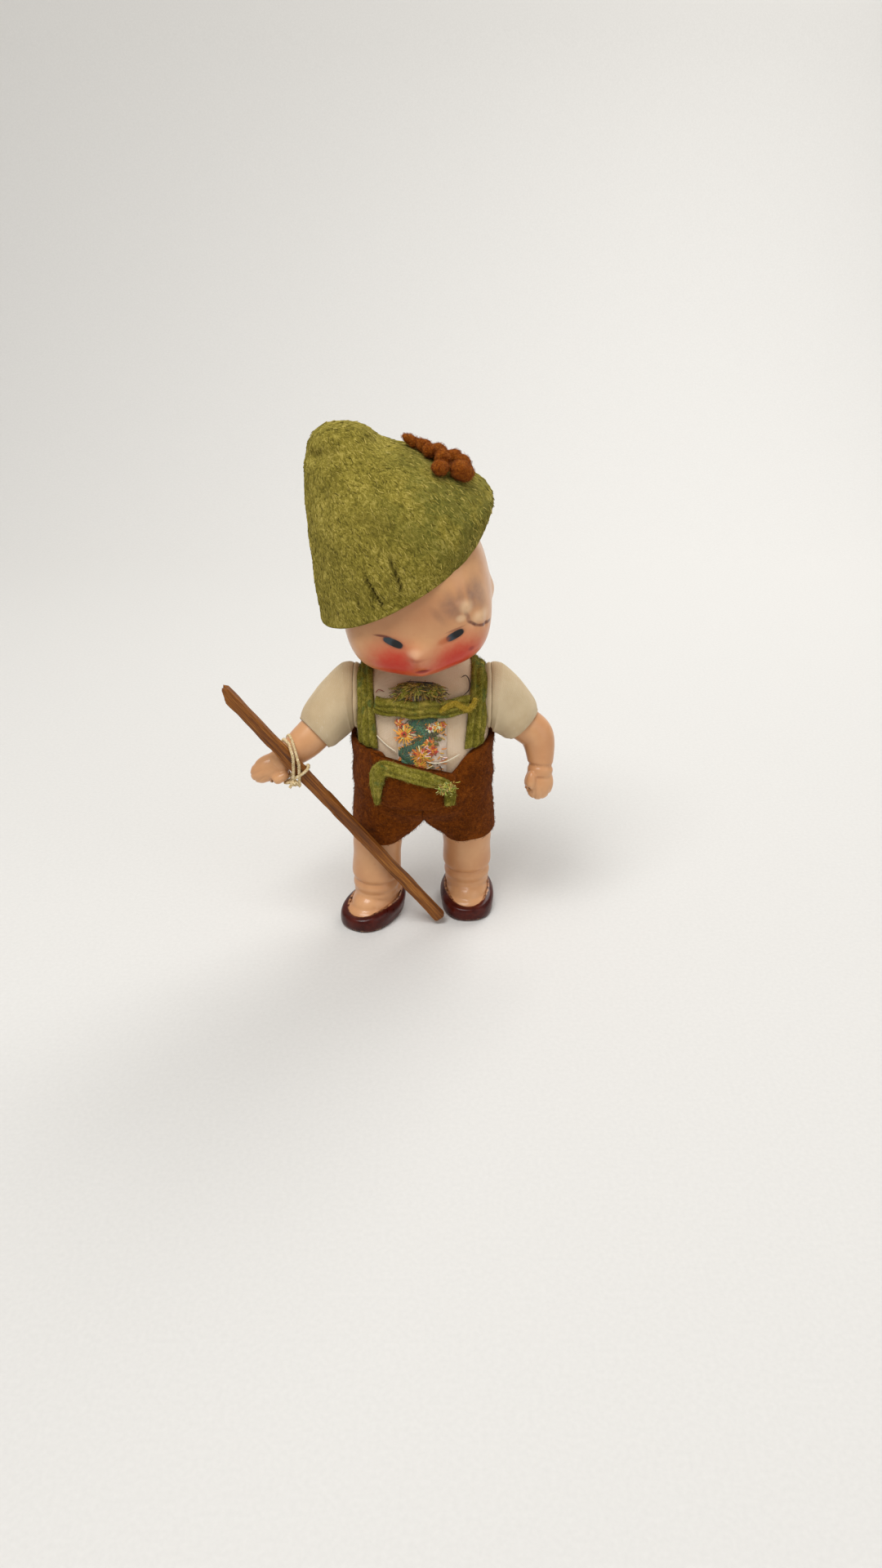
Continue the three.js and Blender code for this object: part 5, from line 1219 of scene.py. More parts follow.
for name, arm in arms.items():
    side = arm["side"]
    shoulder, elbow, wrist, fingers = armJoints(arm)
    reach = fingers - wrist
    middles = [shoulder, elbow + 0.35 * (shoulder - elbow), elbow, wrist, wrist + 0.3 * reach]
    radii = [limb["shoulder"], limb["upperArm"], 0.94 * limb["upperArm"], limb["wrist"], limb["wrist"]]
    steps = np.linspace(0, 1, 60)
    route = spline(middles, steps)
    girths = spline([(k, r, 0) for k, r in enumerate(radii)], steps)[:, 1]
    long = np.linalg.norm(reach)
    turn = turnFrom((0, 0, -1), unit(reach))
    palm = wrist + 0.56 * reach
    capEnd = np.array([side * (shoulderX + 0.25 * limb["shoulder"]), 0, shoulderZ])
    seat = np.array([side * limb["seat"], 0, shoulderZ])
    palmSize = (0.5 * limb["handWidth"] * arm["palm"][0], 0.5 * limb["handThick"], 0.56 * long * arm["palm"][1])
    thumbAt = (-side * arm["thumb"][0] * limb["handWidth"], -0.42 * limb["handThick"], arm["thumb"][1] * long)
    thumbSize = (0.18 * limb["handWidth"], 0.21 * limb["handWidth"], 0.3 * long)
    shapes = [
        shapeOf(tubeRings(route, girths, 36)),
        lumpShape(capEnd, (0.7 * limb["shoulder"], limb["shoulder"], limb["shoulder"])),
        shapeOf(tubeRings(np.linspace(seat, capEnd, 4), limb["shoulder"], 48)),
        lumpShape(palm, palmSize, turn),
        lumpShape(palm + turn @ np.array(thumbAt), thumbSize, turn)]
    cast = moulded("arm_" + name + "_cast", shapes, voxel=0.3, passes=6, finish=fleshPaint)
    places = placesOf(cast)
    local = (places - inFrame(wrist)[0]) / mm
    past = local @ unit(reach)
    crease = -0.45 * np.exp(-((past + 0.2) / 0.55) ** 2) + 0.2 * np.exp(-((past - 1.3) / 0.8) ** 2)
    own = (places - inFrame(palm)[0]) / mm @ turn
    tips = smoothStep(0.0, 0.3 * long, -own[:, 2])
    grooves = np.cos(2 * math.pi * own[:, 0] / (0.25 * limb["handWidth"]) + math.pi)
    groove = -0.22 * tips * np.clip(grooves, 0, 1) ** 3 * (past > 0)
    thumbEnd = (own[:, 2] / long - arm["thumb"][1] + 0.31) / 0.09
    groove = groove - 0.6 * np.exp(-thumbEnd ** 2) * smoothStep(0.1, 0.4, -side * own[:, 0] / limb["handWidth"])
    swell(cast, np.where(past > -6, crease + groove, 0))
    flatFace = rod((side * 4, 0, shoulderZ), seat + [0.4 * side, 0, 0], 12.0)  # where it turns against the torso
    cast = carve(cast, *bored(side, shoulderZ, limb["elastic"], limb["knot"]), flatFace)
    wearing(cast, "arm_" + name, "painted_composition", "arm_" + name)

    along = unit(elbow - shoulder)
    end = shoulder + along * arm["sleeve"]
    control = shoulder + np.array([0.22 * side * arm["sleeve"], 0, 0])
    angles = fullTurn(limb["around"])

    def sleeveRing(share, wide, snug, lip, roll):
        facing = unit(np.array([side, 0, 0]) * (1 - share ** 1.2) + along * share ** 1.2)
        turn = turnFrom((side, 0, 0), facing)
        radius = min(1, 0.88 + 0.5 * share) * wide + (snug - wide) * share ** 1.15
        gathered = max(1 - share / 0.1, 0)
        radius = radius * (1 - 0.03 * gathered ** 3)
        centre = (1 - share) ** 2 * shoulder + 2 * share * (1 - share) * control + share ** 2 * end
        centre = centre + np.array([side * lip * gathered ** 2, 0, 0])
        radius = radius + roll * max((share - 0.88) / 0.12, 0) ** 2
        flat = np.stack([0 * angles, np.cos(angles), np.sin(angles)], 1)
        ring = centre + radius * flat @ turn.T
        bell = math.sin(math.pi * min(1, share)) * 0.4
        waves = 0.5 * np.sin(3 * angles + 2 * share + side) + 0.35 * np.sin(5 * angles - 3 * share)
        waves = bell * waves + 0.2 * bell * ripple(ring, 3.0, 2.0 + side)
        return ring + waves[:, None] * (flat @ turn.T)

    shares = np.concatenate([np.linspace(0, 0.1, 12), np.linspace(0.1, 1, limb["rows"])[1:]])
    outside = np.array([sleeveRing(s, limb["armhole"], limb["snug"] + limb["cloth"], -0.3, -0.95) for s in shares])
    inside = np.array([sleeveRing(s, limb["armhole"] - limb["cloth"], limb["snug"], 0.2, 0.05) for s in shares])
    bothSides = np.concatenate([outside, inside[::-1]])
    sleeve = closedLoft("sleeve_" + name + "_cloth", bothSides, sleeveCotton, closedAlong=True)
    wearing(sleeve, "arm_" + name, "shirt_cloth", "sleeve_" + name)
print("arms and sleeves made")

# Legs: castings with a creased ankle, and moulded pumps painted dark
legs = {
    "left": {"side": 1, "out": 0.4, "forward": -2.4, "toeOut": 2},
    "right": {"side": -1, "out": 1.6, "forward": 4.6, "toeOut": 32}}
leg = {"spread": 13.2, "hip": 44.0, "ankle": 13.4, "knob": 9.4, "seat": 7.5, "knobEnd": 18.0, "around": 56,
       "elastic": (2.0, 10.32), "knot": (10.3, 40)}
pump = {"width": 16.2, "length": 24.5, "height": 7.8, "heel": 10.5, "openWide": 6.9, "openFront": 11.4, "openBack": 9.3,
        "around": 128}


def pumpPaint():
    made = Finish("shoe_paint", Specular_IOR_Level=0.2, Coat_Roughness=0.16, Coat_Weight=0.12)
    place = made.place()
    mottle = speckle(place, 260.0, 4.0, 0.6)
    chips = speckle(place, 900.0, 4.0, 0.7)
    colour = mixed(between(mottle, 0.35, 0.7), tone(58, 12, 6), tone(84, 24, 12))
    rim = made.amount("rim")
    colour = mixed(rim * between(chips, 0.35, 0.6) * 0.8, colour, tone(206, 150, 104))
    _, _, z = parts(place)
    worn = between(z, 0.0014, 0.0004) * between(chips, 0.5, 0.66)
    colour = mixed(worn, colour, tone(150, 110, 76))
    made.feed(Base_Color=colour, Roughness=mottle * 0.2 + 0.2)
    made.relief(mottle + chips * 0.3, 0.1)
    return made.material


shoePaint = pumpPaint()
for name, own in legs.items():
    side = own["side"]
    ankle = np.array([side * (leg["spread"] + own["out"]), -own["forward"], leg["ankle"]])
    hip = np.array([side * leg["spread"], 0, leg["hip"]])
    length = leg["hip"] - leg["ankle"]
    thigh = leg["spread"] - leg["seat"]

    def legRing(z, wide, deep):
        share = min((leg["hip"] - z) / length, 1)
        centre = hip + (ankle - hip) * share
        a = fullTurn(leg["around"])
        return np.stack([centre[0] + wide * np.cos(a), centre[1] + deep * np.sin(a), np.full_like(a, z)], 1)

    stations = [  # height, half width, half depth
        (41.2, thigh, 7.2), (33.2, thigh, 7.75), (26.3, 7.52, 7.83), (21.4, 7.37, 7.45), (16.8, 7.55, 7.65),
        (15.2, 7.5, 7.6), (14.2, 7.1, 7.2), (13.5, 6.45, 6.5), (12.9, 6.85, 6.95), (11.6, 7.15, 7.35),
        (10.4, 6.9, 7.1), (9.8, 6.75, 6.9), (9.2, 6.9, 7.1), (7.6, 6.6, 6.9), (3.9, 6.1, 6.46)]
    shape = spline(stations, np.linspace(0, 1, 110))
    knobLength = leg["knobEnd"] - leg["seat"]
    profile = [(leg["seat"], 9.2), (leg["seat"] + 0.3, leg["knob"]), (leg["seat"] + 0.45 * knobLength, leg["knob"]),
               (leg["seat"] + 0.8 * knobLength, 0.74 * leg["knob"]), (leg["knobEnd"], 0.4 * leg["knob"])]
    knob = [ringAcross(fullTurn(leg["around"]), side * x, r, leg["hip"]) for x, r in profile]
    c, s = math.cos(math.radians(side * own["toeOut"])), math.sin(math.radians(side * own["toeOut"]))
    yaw = np.array([[c, -s, 0], [s, c, 0], [0, 0, 1]])
    sole = np.array([ankle[0], ankle[1], 0])
    instep = [lumpShape(sole + yaw @ np.array([0, y, z]), r, yaw) for y, z, r in (
        (-0.6, 4.9, (6.7, 9.4, 5.4)), (-6.0, 3.4, (6.6, 6.1, 2.9)), (2.4, 8.4, (6.6, 7.2, 4.6)))]
    shapes = [shapeOf([legRing(*row) for row in shape]), shapeOf(knob), *instep]
    cast = moulded("leg_" + name + "_cast", shapes, voxel=0.34, passes=5, finish=fleshPaint)
    cast = carve(cast, *bored(side, leg["hip"], leg["elastic"], leg["knot"]))
    wearing(cast, "leg_" + name, "painted_composition", "leg_" + name)

    turns = fullTurn(pump["around"])
    half = 0.5 * pump["length"]
    middle = pump["heel"] - half

    def soleRing(z, inset):
        wide = 0.5 * pump["width"] * (1 - 0.1 * np.sin(turns)) - inset
        return squaredRing(turns, wide, half - inset, z, middle)

    toe = np.clip(-np.sin(turns), 0, 1)
    heel = np.clip(np.sin(turns), 0, 1)
    lipZ = 6.1 - 1.8 * toe ** 2 + 2.6 * heel ** 2
    opening = np.where(np.sin(turns) < 0, pump["openFront"], pump["openBack"])
    lip = np.stack([pump["openWide"] * np.cos(turns), opening * np.sin(turns), lipZ], 1)
    shoulderRing = soleRing(0.25 * pump["height"], 0)
    rings = [soleRing(0.0, 1.2), soleRing(0.12, 0.6), soleRing(0.45, 0.24), soleRing(1.1, 0.05), shoulderRing]
    for t in np.linspace(0, 1, 16)[1:]:
        bulge = math.sin(math.pi * t)
        ring = shoulderRing * (1 - t) + lip * t
        ring[:, 2] += 1.1 * bulge * (0.6 + 0.3 * toe ** 2 + 0.3 * heel)
        ring[:, :2] += 0.9 * bulge * unit(shoulderRing - [0, middle, 0])[:, :2]
        rings.append(ring)
    rim = len(rings) - 1
    inwards = unit(-lip) * [1, 1, 0]
    for inset, drop in ((0.35, 0.1), (0.7, 0.8), (1.6, 2.4)):
        rings.append(lip + inwards * inset - [0, 0, drop])
    rings.append(lip * [0.5, 0.5, 0] + [0, 0, 2.6])
    shoe = closedLoft("shoe_" + name, np.array(rings) @ yaw.T + sole, shoePaint)
    edgeMark = shoe.data.attributes.new("rim", "FLOAT", "POINT")
    marks = np.zeros(len(shoe.data.vertices), np.float32)
    marks[(rim - 1) * pump["around"]:(rim + 2) * pump["around"]] = 1
    edgeMark.data.foreach_set("value", marks)
    wearing(shoe, "leg_" + name, "painted_composition")
print("legs and shoes made")


# Loose and sewn threads: start, end, the side they arch to and a screen colour of each
def threadCarrier(name, threads):
    mesh = bpy.data.meshes.new(name)
    mesh.from_pydata(inFrame([t[0] for t in threads]).tolist(), [], [])
    aims, reaches, hues = [], [], []
    for start, end, up, hue in threads:
        x = unit(end - start)
        z = unit(up - x * np.dot(up, x))
        aims.append(Matrix(np.stack([x, np.cross(z, x), z], 1).tolist()).to_euler())
        reaches.append(np.linalg.norm(end - start) * mm)
        hues.append((*tone(*hue), 1))
    for label, kind, field, values in (
            ("aim", "FLOAT_VECTOR", "vector", aims), ("reach", "FLOAT", "value", reaches),
            ("hue", "FLOAT_COLOR", "color", hues)):
        mesh.attributes.new(label, kind, "POINT").data.foreach_set(field, np.asarray(values, np.float32).ravel())
    return mesh


def threadFinish(name, roughness):
    made = Finish(name, Roughness=roughness, Sheen_Weight=0.15, Specular_IOR_Level=0.35)
    hue = made.root.node("ShaderNodeAttribute", {"attribute_name": "hue"}, {})
    streak = speckle(made.place(), 3800.0, 2.0)
    made.feed(Base_Color=mixed(between(streak, 0.35, 0.65) * 0.12, hue, tone(246, 226, 178)))
    return made.material


silk, fluff = threadFinish("silk_thread", 0.45), threadFinish("loose_fibre", 0.9)
chance = np.random.default_rng(12)


def tinted(hue, spread=0.16):
    return tuple(float(np.clip(c * (1 + spread * (2 * chance.random() - 1)), 4, 250)) for c in hue)


# Embroidery down the shirt's front: a cotton ground, and sprays of flowers in silk
dyes = {"teal": (30, 86, 66), "sea": (56, 116, 92), "olive": (104, 98, 40), "orange": (204, 120, 22),
        "yellow": (222, 160, 44), "red": (182, 50, 24), "cream": (232, 214, 180), "moss": (52, 58, 26)}
braid = {"halfWidth": 7.0, "low": 53.7, "high": 78.0, "off": 1.22, "thick": 0.5, "silk": 0.17, "arch": 0.22,
         "across": 49, "rows": 120,
         "flowers": [  # middle, petal length, petals, petal dye, heart dye
             ((-4.9, 67.3), 2.7, 8, "yellow", "red"), ((-6.6, 70.2), 1.2, 5, "red", "orange"),
             ((-0.2, 61.0), 2.6, 9, "orange", "yellow"), ((3.0, 62.5), 1.7, 6, "red", "orange"),
             ((2.4, 69.0), 1.2, 5, "cream", "red"), ((4.7, 69.2), 1.5, 6, "yellow", "cream"),
             ((6.0, 69.9), 0.9, 5, "orange", "red"), ((2.2, 64.6), 1.6, 6, "orange", "olive"),
             ((-0.8, 57.6), 2.0, 8, "yellow", "orange"), ((-4.4, 75.6), 2.2, 7, "orange", "yellow"),
             ((3.4, 75.2), 2.2, 7, "yellow", "red")],
         "leaves": [  # line, width, dye
             ((-3.4, 71.0), (0.6, 70.2), 3.0, "teal"), ((0.0, 71.2), (4.2, 71.4), 2.2, "teal"),
             ((-1.9, 69.6), (1.7, 67.0), 3.4, "teal"), ((-0.6, 69.4), (0.9, 66.8), 1.2, "sea"),
             ((-6.8, 61.4), (-2.4, 63.6), 3.0, "teal"), ((-2.8, 63.3), (1.8, 66.6), 2.1, "teal"),
             ((1.2, 66.7), (4.9, 67.4), 1.3, "moss"), ((-2.8, 65.2), (0.2, 66.2), 1.0, "moss"),
             ((-5.8, 61.2), (-2.0, 58.2), 3.2, "teal"), ((-5.8, 59.6), (-3.8, 57.6), 1.4, "sea"),
             ((3.4, 66.4), (5.4, 65.4), 1.5, "olive"), ((3.0, 65.0), (4.6, 63.8), 1.2, "olive"),
             ((-1.8, 73.4), (2.0, 72.6), 2.0, "teal")]}
braidX = braid["halfWidth"] * 2 * acrossBand(braid["across"])
braidZ = np.linspace(braid["low"], braid["high"], braid["rows"])
flatX, flatZ = np.meshgrid(braidX, braidZ)
flatX = flatX * (1 + 0.03 * ripple(np.stack([0 * flatZ, 0 * flatZ, flatZ], -1), 1.6, 3.0))
skin = onFront(flatX, flatZ, braid["off"])
high = braid["thick"] * rounding(braid["rows"], braid["across"], ends=2, edge=5.0)
high = high * (1 + 0.1 * ripple(skin, 1.2, 2.0))
groundCotton = cotton("braid_cotton", tone(228, 208, 190), tone(212, 188, 166), 0.42)
groundPiece = feltBand("embroidered_braid_cloth", skin, high, groundCotton)
wearing(groundPiece, "torso", "embroidery", "embroidered_braid")
sewn = []


def sew(x, z, angle, length, dye, lift=0.0):  # one stitch in the front view, about its middle
    level = braid["off"] + braid["thick"] + lift
    ahead = 0.5 * length * np.array([math.cos(angle), math.sin(angle)])
    start, end = (onFront(np.array(x + k * ahead[0]), np.array(z + k * ahead[1]), level) for k in (-1, 1))
    up = np.cross(onFront(np.array(x + 0.1), np.array(z), level) - onFront(np.array(x - 0.1), np.array(z), level),
                  onFront(np.array(x), np.array(z + 0.1), level) - onFront(np.array(x), np.array(z - 0.1), level))
    sewn.append((start, end, unit(up), tinted(dyes[dye])))


for k in range(260):  # a sparse filling between the sprays
    x, z = chance.normal(-0.4, 2.6), chance.uniform(56.5, 71.5)
    sew(np.clip(x, -6.2, 6.2), z, chance.normal(0.5, 0.5), chance.uniform(0.6, 1.6),
        ("olive", "yellow", "moss", "orange")[k % 4])
for start, end, width, dye in braid["leaves"]:
    start, end = np.array(start), np.array(end)
    turn = math.atan2(*(end - start)[::-1])
    count = int(np.linalg.norm(end - start) / 0.2)
    for k in range(count):
        share = (k + 0.5) / count
        x, z = start + (end - start) * share + chance.normal(0, 0.09, 2)
        long = width * (0.45 + 0.55 * math.sin(math.pi * share)) * chance.uniform(0.85, 1.15)
        sew(x, z, turn + 1.05 + chance.normal(0, 0.12), long, dye, 0.1)
for (x, z), petal, count, dye, heart in braid["flowers"]:
    for k in range(5 * count):
        angle = 2 * math.pi * (k + chance.uniform(-0.4, 0.4)) / (5 * count)
        long = petal * chance.uniform(0.45, 1.15)
        hue = dye if chance.random() < 0.62 else ("yellow", "orange", "cream", "red")[chance.integers(4)]
        out = 0.15 * petal + 0.5 * long
        sew(x + out * math.cos(angle), z + out * math.sin(angle), angle + chance.normal(0, 0.2), long, hue, 0.2)
    for k in range(int(5 + 4 * petal)):
        away, angle = 0.3 * petal * math.sqrt(chance.random()), chance.uniform(0, 2 * math.pi)
        sew(x + away * math.cos(angle), z + away * math.sin(angle), chance.uniform(0, math.pi), 0.65, heart, 0.36)
for k in range(36):  # frayed ends towards the braid's sides
    side = 1 if k % 2 else -1
    sew(side * (braid["halfWidth"] - chance.uniform(0.2, 1.6)), chance.uniform(56.0, 72.0),
        (0 if side > 0 else math.pi) + chance.normal(0, 0.6), chance.uniform(0.6, 1.4),
        ("yellow", "orange", "cream", "orange")[k // 2 % 4], 0.05)
stitchPiece = grown("braid_stitches", threadCarrier("stitches", sewn), stitches, Thickness=braid["silk"] * mm,
                    Arch=braid["arch"] * mm, Finish=silk)
wearing(stitchPiece, "torso", "embroidery")
print("embroidery made,", len(sewn), "stitches")

# Neck bow: two creased felt loops and a knot, frayed all over
bow = {"x": -0.9, "z": 79.9, "y": -12.5, "reach": 3.8, "loop": (3.2, 2.4, 2.0), "knot": (1.8, 2.4, 1.8),
       "end": (2.3, 1.4, 1.2), "endReach": 4.6, "droop": 22, "fibres": 420, "mound": 0.36}
shapes = [lumpShape((bow["x"], bow["y"] - 0.9, bow["z"] + 0.1), bow["knot"])]
for side in (-1, 1):
    droop = np.array(Matrix.Rotation(math.radians(bow["droop"] * side), 3, "Y"))
    shapes.append(lumpShape((side * bow["reach"] + bow["x"], bow["y"], bow["z"] - 0.4), bow["loop"], droop))
    shapes.append(lumpShape((side * bow["endReach"] + bow["x"], bow["y"] - 0.9, bow["z"] - 1.7), bow["end"], droop))
bowPiece = moulded("neck_bow_felt", shapes, voxel=0.26, passes=3, finish=greenFelt)
x, _, z = ((placesOf(bowPiece) - [dollX, 0, 0]) / mm).T
pleats = np.sin(7.5 * np.arctan2(z - bow["z"], x - bow["x"]) + 0.5 * x)
swell(bowPiece, 0.22 * pleats * np.minimum(np.abs(x - bow["x"]) / 2, 1))
wearing(bowPiece, "torso", "green_felt", "neck_bow")
bowPlaces = placesOf(bowPiece)
bowWays = np.array([v.normal[:] for v in bowPiece.data.vertices])
outside = np.flatnonzero((bowWays[:, 1] < 0.1) & (bowPlaces[:, 2] < 0.0816))
fibres = []
for k in chance.choice(outside, bow["fibres"]):
    start = (bowPlaces[k] - [dollX, 0, 0]) / mm
    away = unit((start - [bow["x"], bow["y"], bow["z"] + 1.2]) * [1, 0.3, 1])
    way = unit(bowWays[k] * 0.35 + away * chance.uniform(0.5, 1.2) + chance.normal(0, 0.45, 3))
    hue = ((132, 112, 30), (166, 132, 40), (104, 88, 26), (184, 156, 66), (56, 44, 18))[k % 5]
    end = start + way * chance.uniform(0.7, 2.4)
    end[2] = min(end[2], 82.4 - bow["mound"] * max(abs(end[0] - bow["x"]) - 1.0, 0))
    fibres.append((start - 0.1 * way, end, bowWays[k], tinted(hue)))

# Frayed corner of the flap's edging
for k in range(170):
    x, z = chance.normal(6.9, 1.1), chance.normal(52.9, 0.8)
    start = onFront(np.array(x), np.array(z), flapEdging["off"] + 0.8 * flapEdging["thick"]) - [0, flapBulge(x, z), 0]
    way = unit(np.array([chance.normal(0.1, 0.6), -chance.uniform(0.1, 0.8), chance.normal(0.2, 0.6)]))
    hue = ((196, 184, 76), (164, 162, 60), (222, 208, 116), (136, 140, 52))[k % 4]
    fibres.append((start, start + way * chance.uniform(0.6, 1.9), np.array([0, -1, 0]), tinted(hue)))
fibrePiece = grown("frayed_fibres", threadCarrier("fray", fibres), stitches, Thickness=0.00009, Arch=0.00025,
                   Finish=fluff)
wearing(fibrePiece, "torso", "green_felt")

# Single threads that have come loose on the shirt, in the front view with their height over the body
strays = [
    ([(-13.2, 65.6, 1.2), (-12.0, 64.6, 1.25), (-9.8, 62.9, 1.3), (-7.3, 61.8, 2.0)], 0.2, (240, 226, 200)),
    ([(1.2, 59.3, 2.2), (3.4, 58.8, 2.3), (6.6, 59.0, 2.1), (9.0, 59.6, 1.5), (10.9, 60.4, 1.3)], 0.2, (244, 232, 204)),
    ([(-0.2, 56.8, 2.2), (1.4, 57.2, 2.4), (3.2, 58.2, 2.3)], 0.17, (236, 214, 160)),
    ([(4.9, 57.9, 2.2), (5.5, 56.9, 2.2), (5.2, 55.8, 2.0)], 0.15, (76, 60, 40)),
    ([(-13.2, 77.6, 1.3), (-12.2, 78.6, 1.4), (-10.6, 78.4, 1.4)], 0.13, (150, 70, 60)),
    ([(11.0, 81.6, 1.5), (12.4, 81.9, 1.6), (13.4, 80.6, 1.7), (13.3, 78.6, 1.8), (11.6, 77.5, 2.2)], 0.14,
     (58, 40, 28)),
    ([(-4.4, 82.0, 3.4), (-1.8, 82.3, 4.2), (1.0, 82.2, 4.2), (3.8, 81.6, 3.2)], 0.16, (46, 34, 24))]
for k, (line, radius, hue) in enumerate(strays):
    steps = np.linspace(0, 1, 40)
    route = np.array([onFront(np.array(x), np.array(z), off) for x, z, off in spline(line, steps)])
    girth = radius * np.minimum(1, 0.25 + 6 * np.minimum(steps, steps[::-1]))
    made = Finish("stray_thread_%d" % k, Roughness=0.8, Sheen_Weight=0.1)
    made.feed(Base_Color=mixed(speckle(made.place(), 2600.0, 2.0), tone(*[0.82 * c for c in hue]), tone(*hue)))
    wearing(closedLoft("stray_thread_%d" % k, tubeRings(route, girth, 8), made.material), "torso", "embroidery")

# Scrap of yellow felt across the bar's end
scrap = {"line": [(4.9, 74.2), (6.6, 75.4), (9.2, 76.3), (11.2, 75.2), (12.9, 74.3), (14.4, 75.4), (15.0, 77.0)],
         "widths": [1.0, 1.6, 1.7, 1.5, 1.6, 1.7, 1.2], "off": 3.75, "thick": 0.7, "across": 15, "rows": 90}
goldTones = [(0.0, tone(120, 100, 30)), (0.4, tone(168, 142, 46)), (0.7, tone(190, 162, 60)), (1.0, tone(220, 196, 96))]
line = evenly(spline(scrap["line"], np.linspace(0, 1, 200)), scrap["rows"])
skin = bandOnFront(line, widthsAlong(scrap["widths"], scrap["rows"]), scrap["off"], scrap["across"])
high = scrap["thick"] * rounding(scrap["rows"], scrap["across"], ends=4, edge=3.0)
high = high * (1 + 0.3 * ripple(skin, 1.1, 1.0))
goldFelt = felt("gold_felt", goldTones, patch=400.0)
scrapPiece = wearing(feltBand("bar_scrap_felt", skin, high, goldFelt), "torso", "green_felt")
napOn(scrapPiece, "bar_scrap_nap", "torso", "green_felt", napOf("gold_nap", goldTones), density=8, length=0.9,
      grain=(1, 0, 0.2), seed=24, spread=1.2)
print("bow, fray and loose threads made")

# Stick: split wood with a lengthwise grain, broken off at a slant
wood = {"width": 3.7, "thick": 3.0, "length": 101.0, "foot": (5.2, -11.8, 2.15), "grip": (0.35, -0.85, 0.4),
        "clear": 6.1, "around": 64, "rows": 170}
elbow, wrist = armJoints(arms["right"])[1:3]
held = wrist + np.array(wood["grip"]) * wood["clear"]
along = unit(held - np.array(wood["foot"]))
facing = unit(np.array([0, -1, 0]) + along * along[1])
across = np.cross(along, facing)
angles = fullTurn(wood["around"])
boxed = np.stack([np.sign(f(angles)) * np.abs(f(angles)) ** 0.3 for f in (np.cos, np.sin)], 1)
half = 0.5 * wood["width"]
tops = wood["length"] + np.interp(boxed[:, 0], [-1, 0.3, 1], [-1.1 * wood["width"], 0, -0.3 * wood["width"]])
tops = tops - 0.5 * np.abs(ripple(np.stack([boxed[:, 0], boxed[:, 1], 0 * angles], 1), 0.35, 6.0))
shares = 0.5 - 0.5 * np.cos(np.linspace(0, math.pi, wood["rows"]))
shares = 0.25 * shares + 0.75 * np.linspace(0, 1, wood["rows"])
u, v = np.meshgrid(boxed[:, 0], shares)[0], np.meshgrid(boxed[:, 1], shares)[0]
d = shares[:, None] * tops[None]
grainAt = np.stack([2.2 * u, 2.2 * v, d / 16], -1)
rough = 0.10 * ripple(grainAt, 0.42, 1.0) + 0.14 * ripple(np.stack([u, v, d / 7], -1), 0.9, 5.0)
corner = np.abs(u * v) ** 3
rough = rough - corner * np.clip(ripple(np.stack([2 * u, 2 * v, d / 5], -1), 1.0, 9.0) - 0.1, 0, 1) * 0.9
edgeIn = 1 - 0.2 * np.clip(1 - np.minimum(shares, 1 - shares) / 0.006, 0, 1)[:, None] ** 2
u, v = u * edgeIn * (half + rough - 0.12), v * edgeIn * (0.5 * wood["thick"] + rough - 0.12)
stickRings = np.array(wood["foot"]) + u[..., None] * across + v[..., None] * facing + d[..., None] * along
splitWood = Finish("split_wood", Roughness=0.6, Specular_IOR_Level=0.35)
grain = turnedTo(splitWood.place("form"), (0, 0, 0), (1.6, 1.6, 0.05))
lines = speckle(grain, 1.6, 5.0, 0.65, 0.3)
broad = speckle(turnedTo(splitWood.place("form"), (0, 0, 0), (0.4, 0.4, 0.03)), 1.0, 3.0)
pores = speckle(turnedTo(splitWood.place("form"), (0, 0, 0), (7, 7, 0.4)), 1.0, 2.0)
colour = ramped(between(lines * 0.65 + broad * 0.35, 0.32, 0.68), [
    (0.0, tone(78, 40, 8)), (0.35, tone(120, 66, 14)), (0.7, tone(150, 90, 26)), (1.0, tone(182, 120, 50))])
colour = mixed(between(pores, 0.6, 0.75) * 0.6, colour, tone(48, 24, 8))
splitWood.feed(Base_Color=colour, Roughness=lines * 0.25 + 0.42)
splitWood.relief(lines + pores * 0.4, 0.25)
stickPiece = closedLoft("walking_stick_wood", stickRings, splitWood.material, form=np.stack([u, v, d], -1))
wearing(stickPiece, "arm_right", "split_wood", "walking_stick")

# String round stick and forearm: two skew turns over both, a hitch round the stick, knotted underneath
tie = {"cord": 0.5, "room": 0.62, "behindWrist": 1.0, "forearm": 3.95, "skew": 1.4, "pitch": 1.5, "turns": 2,
       "from": -0.2, "lay": 2.1, "loop": 0.62, "hitch": 3.7, "creep": 0.14, "points": 900,
       "hitchRound": [  # below and before the stick's middle, in half widths
           (1, -0.6), (1, 0.6), (0.6, 1), (-0.6, 1), (-1, 0.6), (-1, -0.6), (-0.6, -1), (0.6, -1), (1, -0.4)]}
forearm = unit(wrist - elbow)
lashed = wrist - tie["behindWrist"] * forearm
axis = unit(tie["skew"] * forearm + along)
front = unit(facing - axis * np.dot(facing, axis))
up = np.cross(axis, front)
bars = [(lashed, forearm, tie["forearm"] + tie["room"])]
for p, q in ((-0.5, -0.5), (-0.5, 0.5), (0.5, -0.5), (0.5, 0.5)):
    edge = held + across * p * wood["width"] + facing * q * wood["thick"]
    bars.append((edge - along * np.dot(edge - lashed, axis) / np.dot(along, axis), along, tie["room"]))


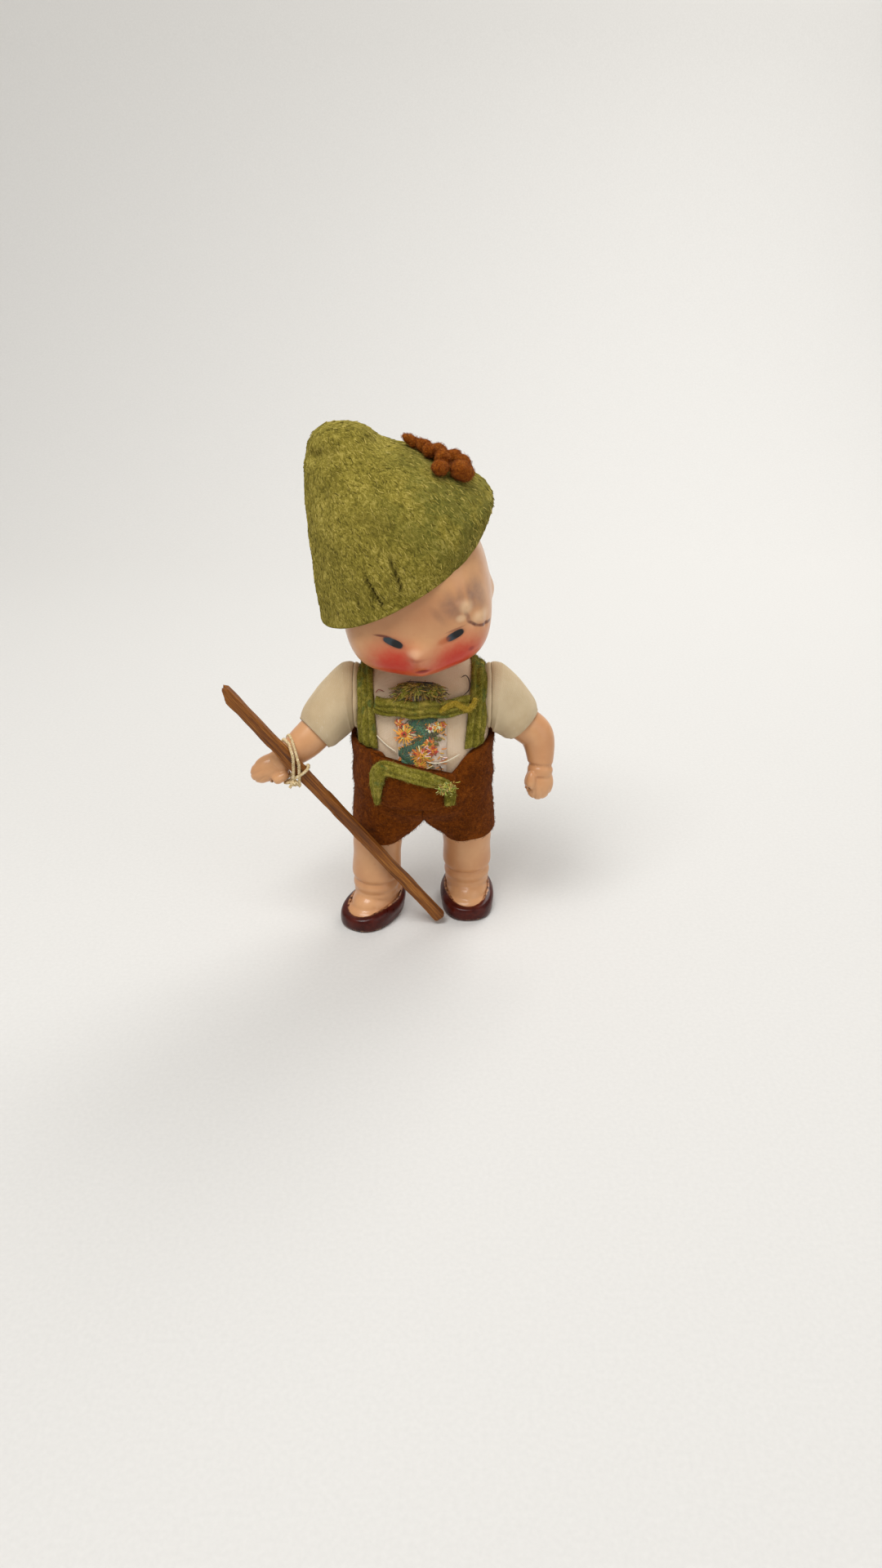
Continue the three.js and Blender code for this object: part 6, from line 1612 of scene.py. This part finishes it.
def wound(turn):  # a point of the winding, at a number of turns from its middle strand's start
    outwards = front * math.cos(2 * math.pi * turn) + up * math.sin(2 * math.pi * turn)
    shift = tie["pitch"] * (turn - 0.5 * tie["turns"])
    best = None
    for base, run, radius in bars:
        level = np.dot(run, axis)
        slope = unit(run - axis * level)
        weighted = outwards + slope * (1 / level ** 2 - 1) * np.dot(outwards, slope)
        point = base + run * shift / level + weighted * radius / math.sqrt(np.dot(weighted, outwards))
        best = point if best is None or np.dot(point, outwards) > np.dot(best, outwards) else best
    return best, outwards


winding = [wound(t)[0] for t in np.linspace(tie["from"], tie["from"] + tie["turns"], 161)]
under, outwards = wound(tie["from"] + 1)
sideways = unit(np.cross(outwards, axis))
knot = under + outwards * 1.15
ends = []
for sign in (1, -1):
    second = outwards if sign > 0 else sideways
    bends = np.linspace(0, 1.7 * math.pi, 9)
    loop = [knot + tie["loop"] * (axis * sign * math.cos(a) + second * math.sin(a)) for a in bends]
    tail = [knot + axis * sign * (0.7 + 0.45 * k) + np.array([0, -0.1, -0.5]) * k + outwards * 0.25 for k in (1, 2)]
    ends.append(loop + tail)
below = across * np.sign(np.dot(across, outwards))
hitched = held - along * (np.dot(held - lashed, axis) / np.dot(along, axis) + tie["hitch"])
halfWidth, halfThick = (0.5 * wood[size] + tie["room"] for size in ("width", "thick"))
hitch = []
for k, (low, fore) in enumerate(tie["hitchRound"]):
    hitch.append(hitched + below * low * halfWidth + facing * fore * halfThick - along * tie["creep"] * k)
tieRoute = [*ends[1][::-1], winding[0] + 0.3 * outwards, *winding[4:-4:6], winding[-1] + 0.1 * outwards,
            *hitch, winding[-1] + 1.2 * outwards, *ends[0]]
tieLine = evenly(spline(tieRoute, np.linspace(0, 1, 2 * tie["points"])), tie["points"])
tieMesh = bpy.data.meshes.new("tie_line")
tieMesh.from_pydata(inFrame(tieLine).tolist(), [(k, k + 1) for k in range(tie["points"] - 1)], [])
string = Finish("cotton_string", Roughness=0.88, Sheen_Weight=0.15)
wear = speckle(string.place(), 1800.0, 3.0)
stringTones = [(0.0, tone(192, 162, 110)), (0.5, tone(222, 197, 148)), (1.0, tone(238, 220, 180))]
string.feed(Base_Color=ramped(between(wear, 0.3, 0.7), stringTones))
string.relief(speckle(string.place(), 5200.0, 3.0), 0.1)
tiePiece = grown("stick_tie_string", tieMesh, twist, Radius=tie["cord"] * mm, Lay=tie["lay"] * mm,
                 Finish=string.material)
wearing(tiePiece, "arm_right", "tie_string", "stick_tie")
print("stick and tie made")

low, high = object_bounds()
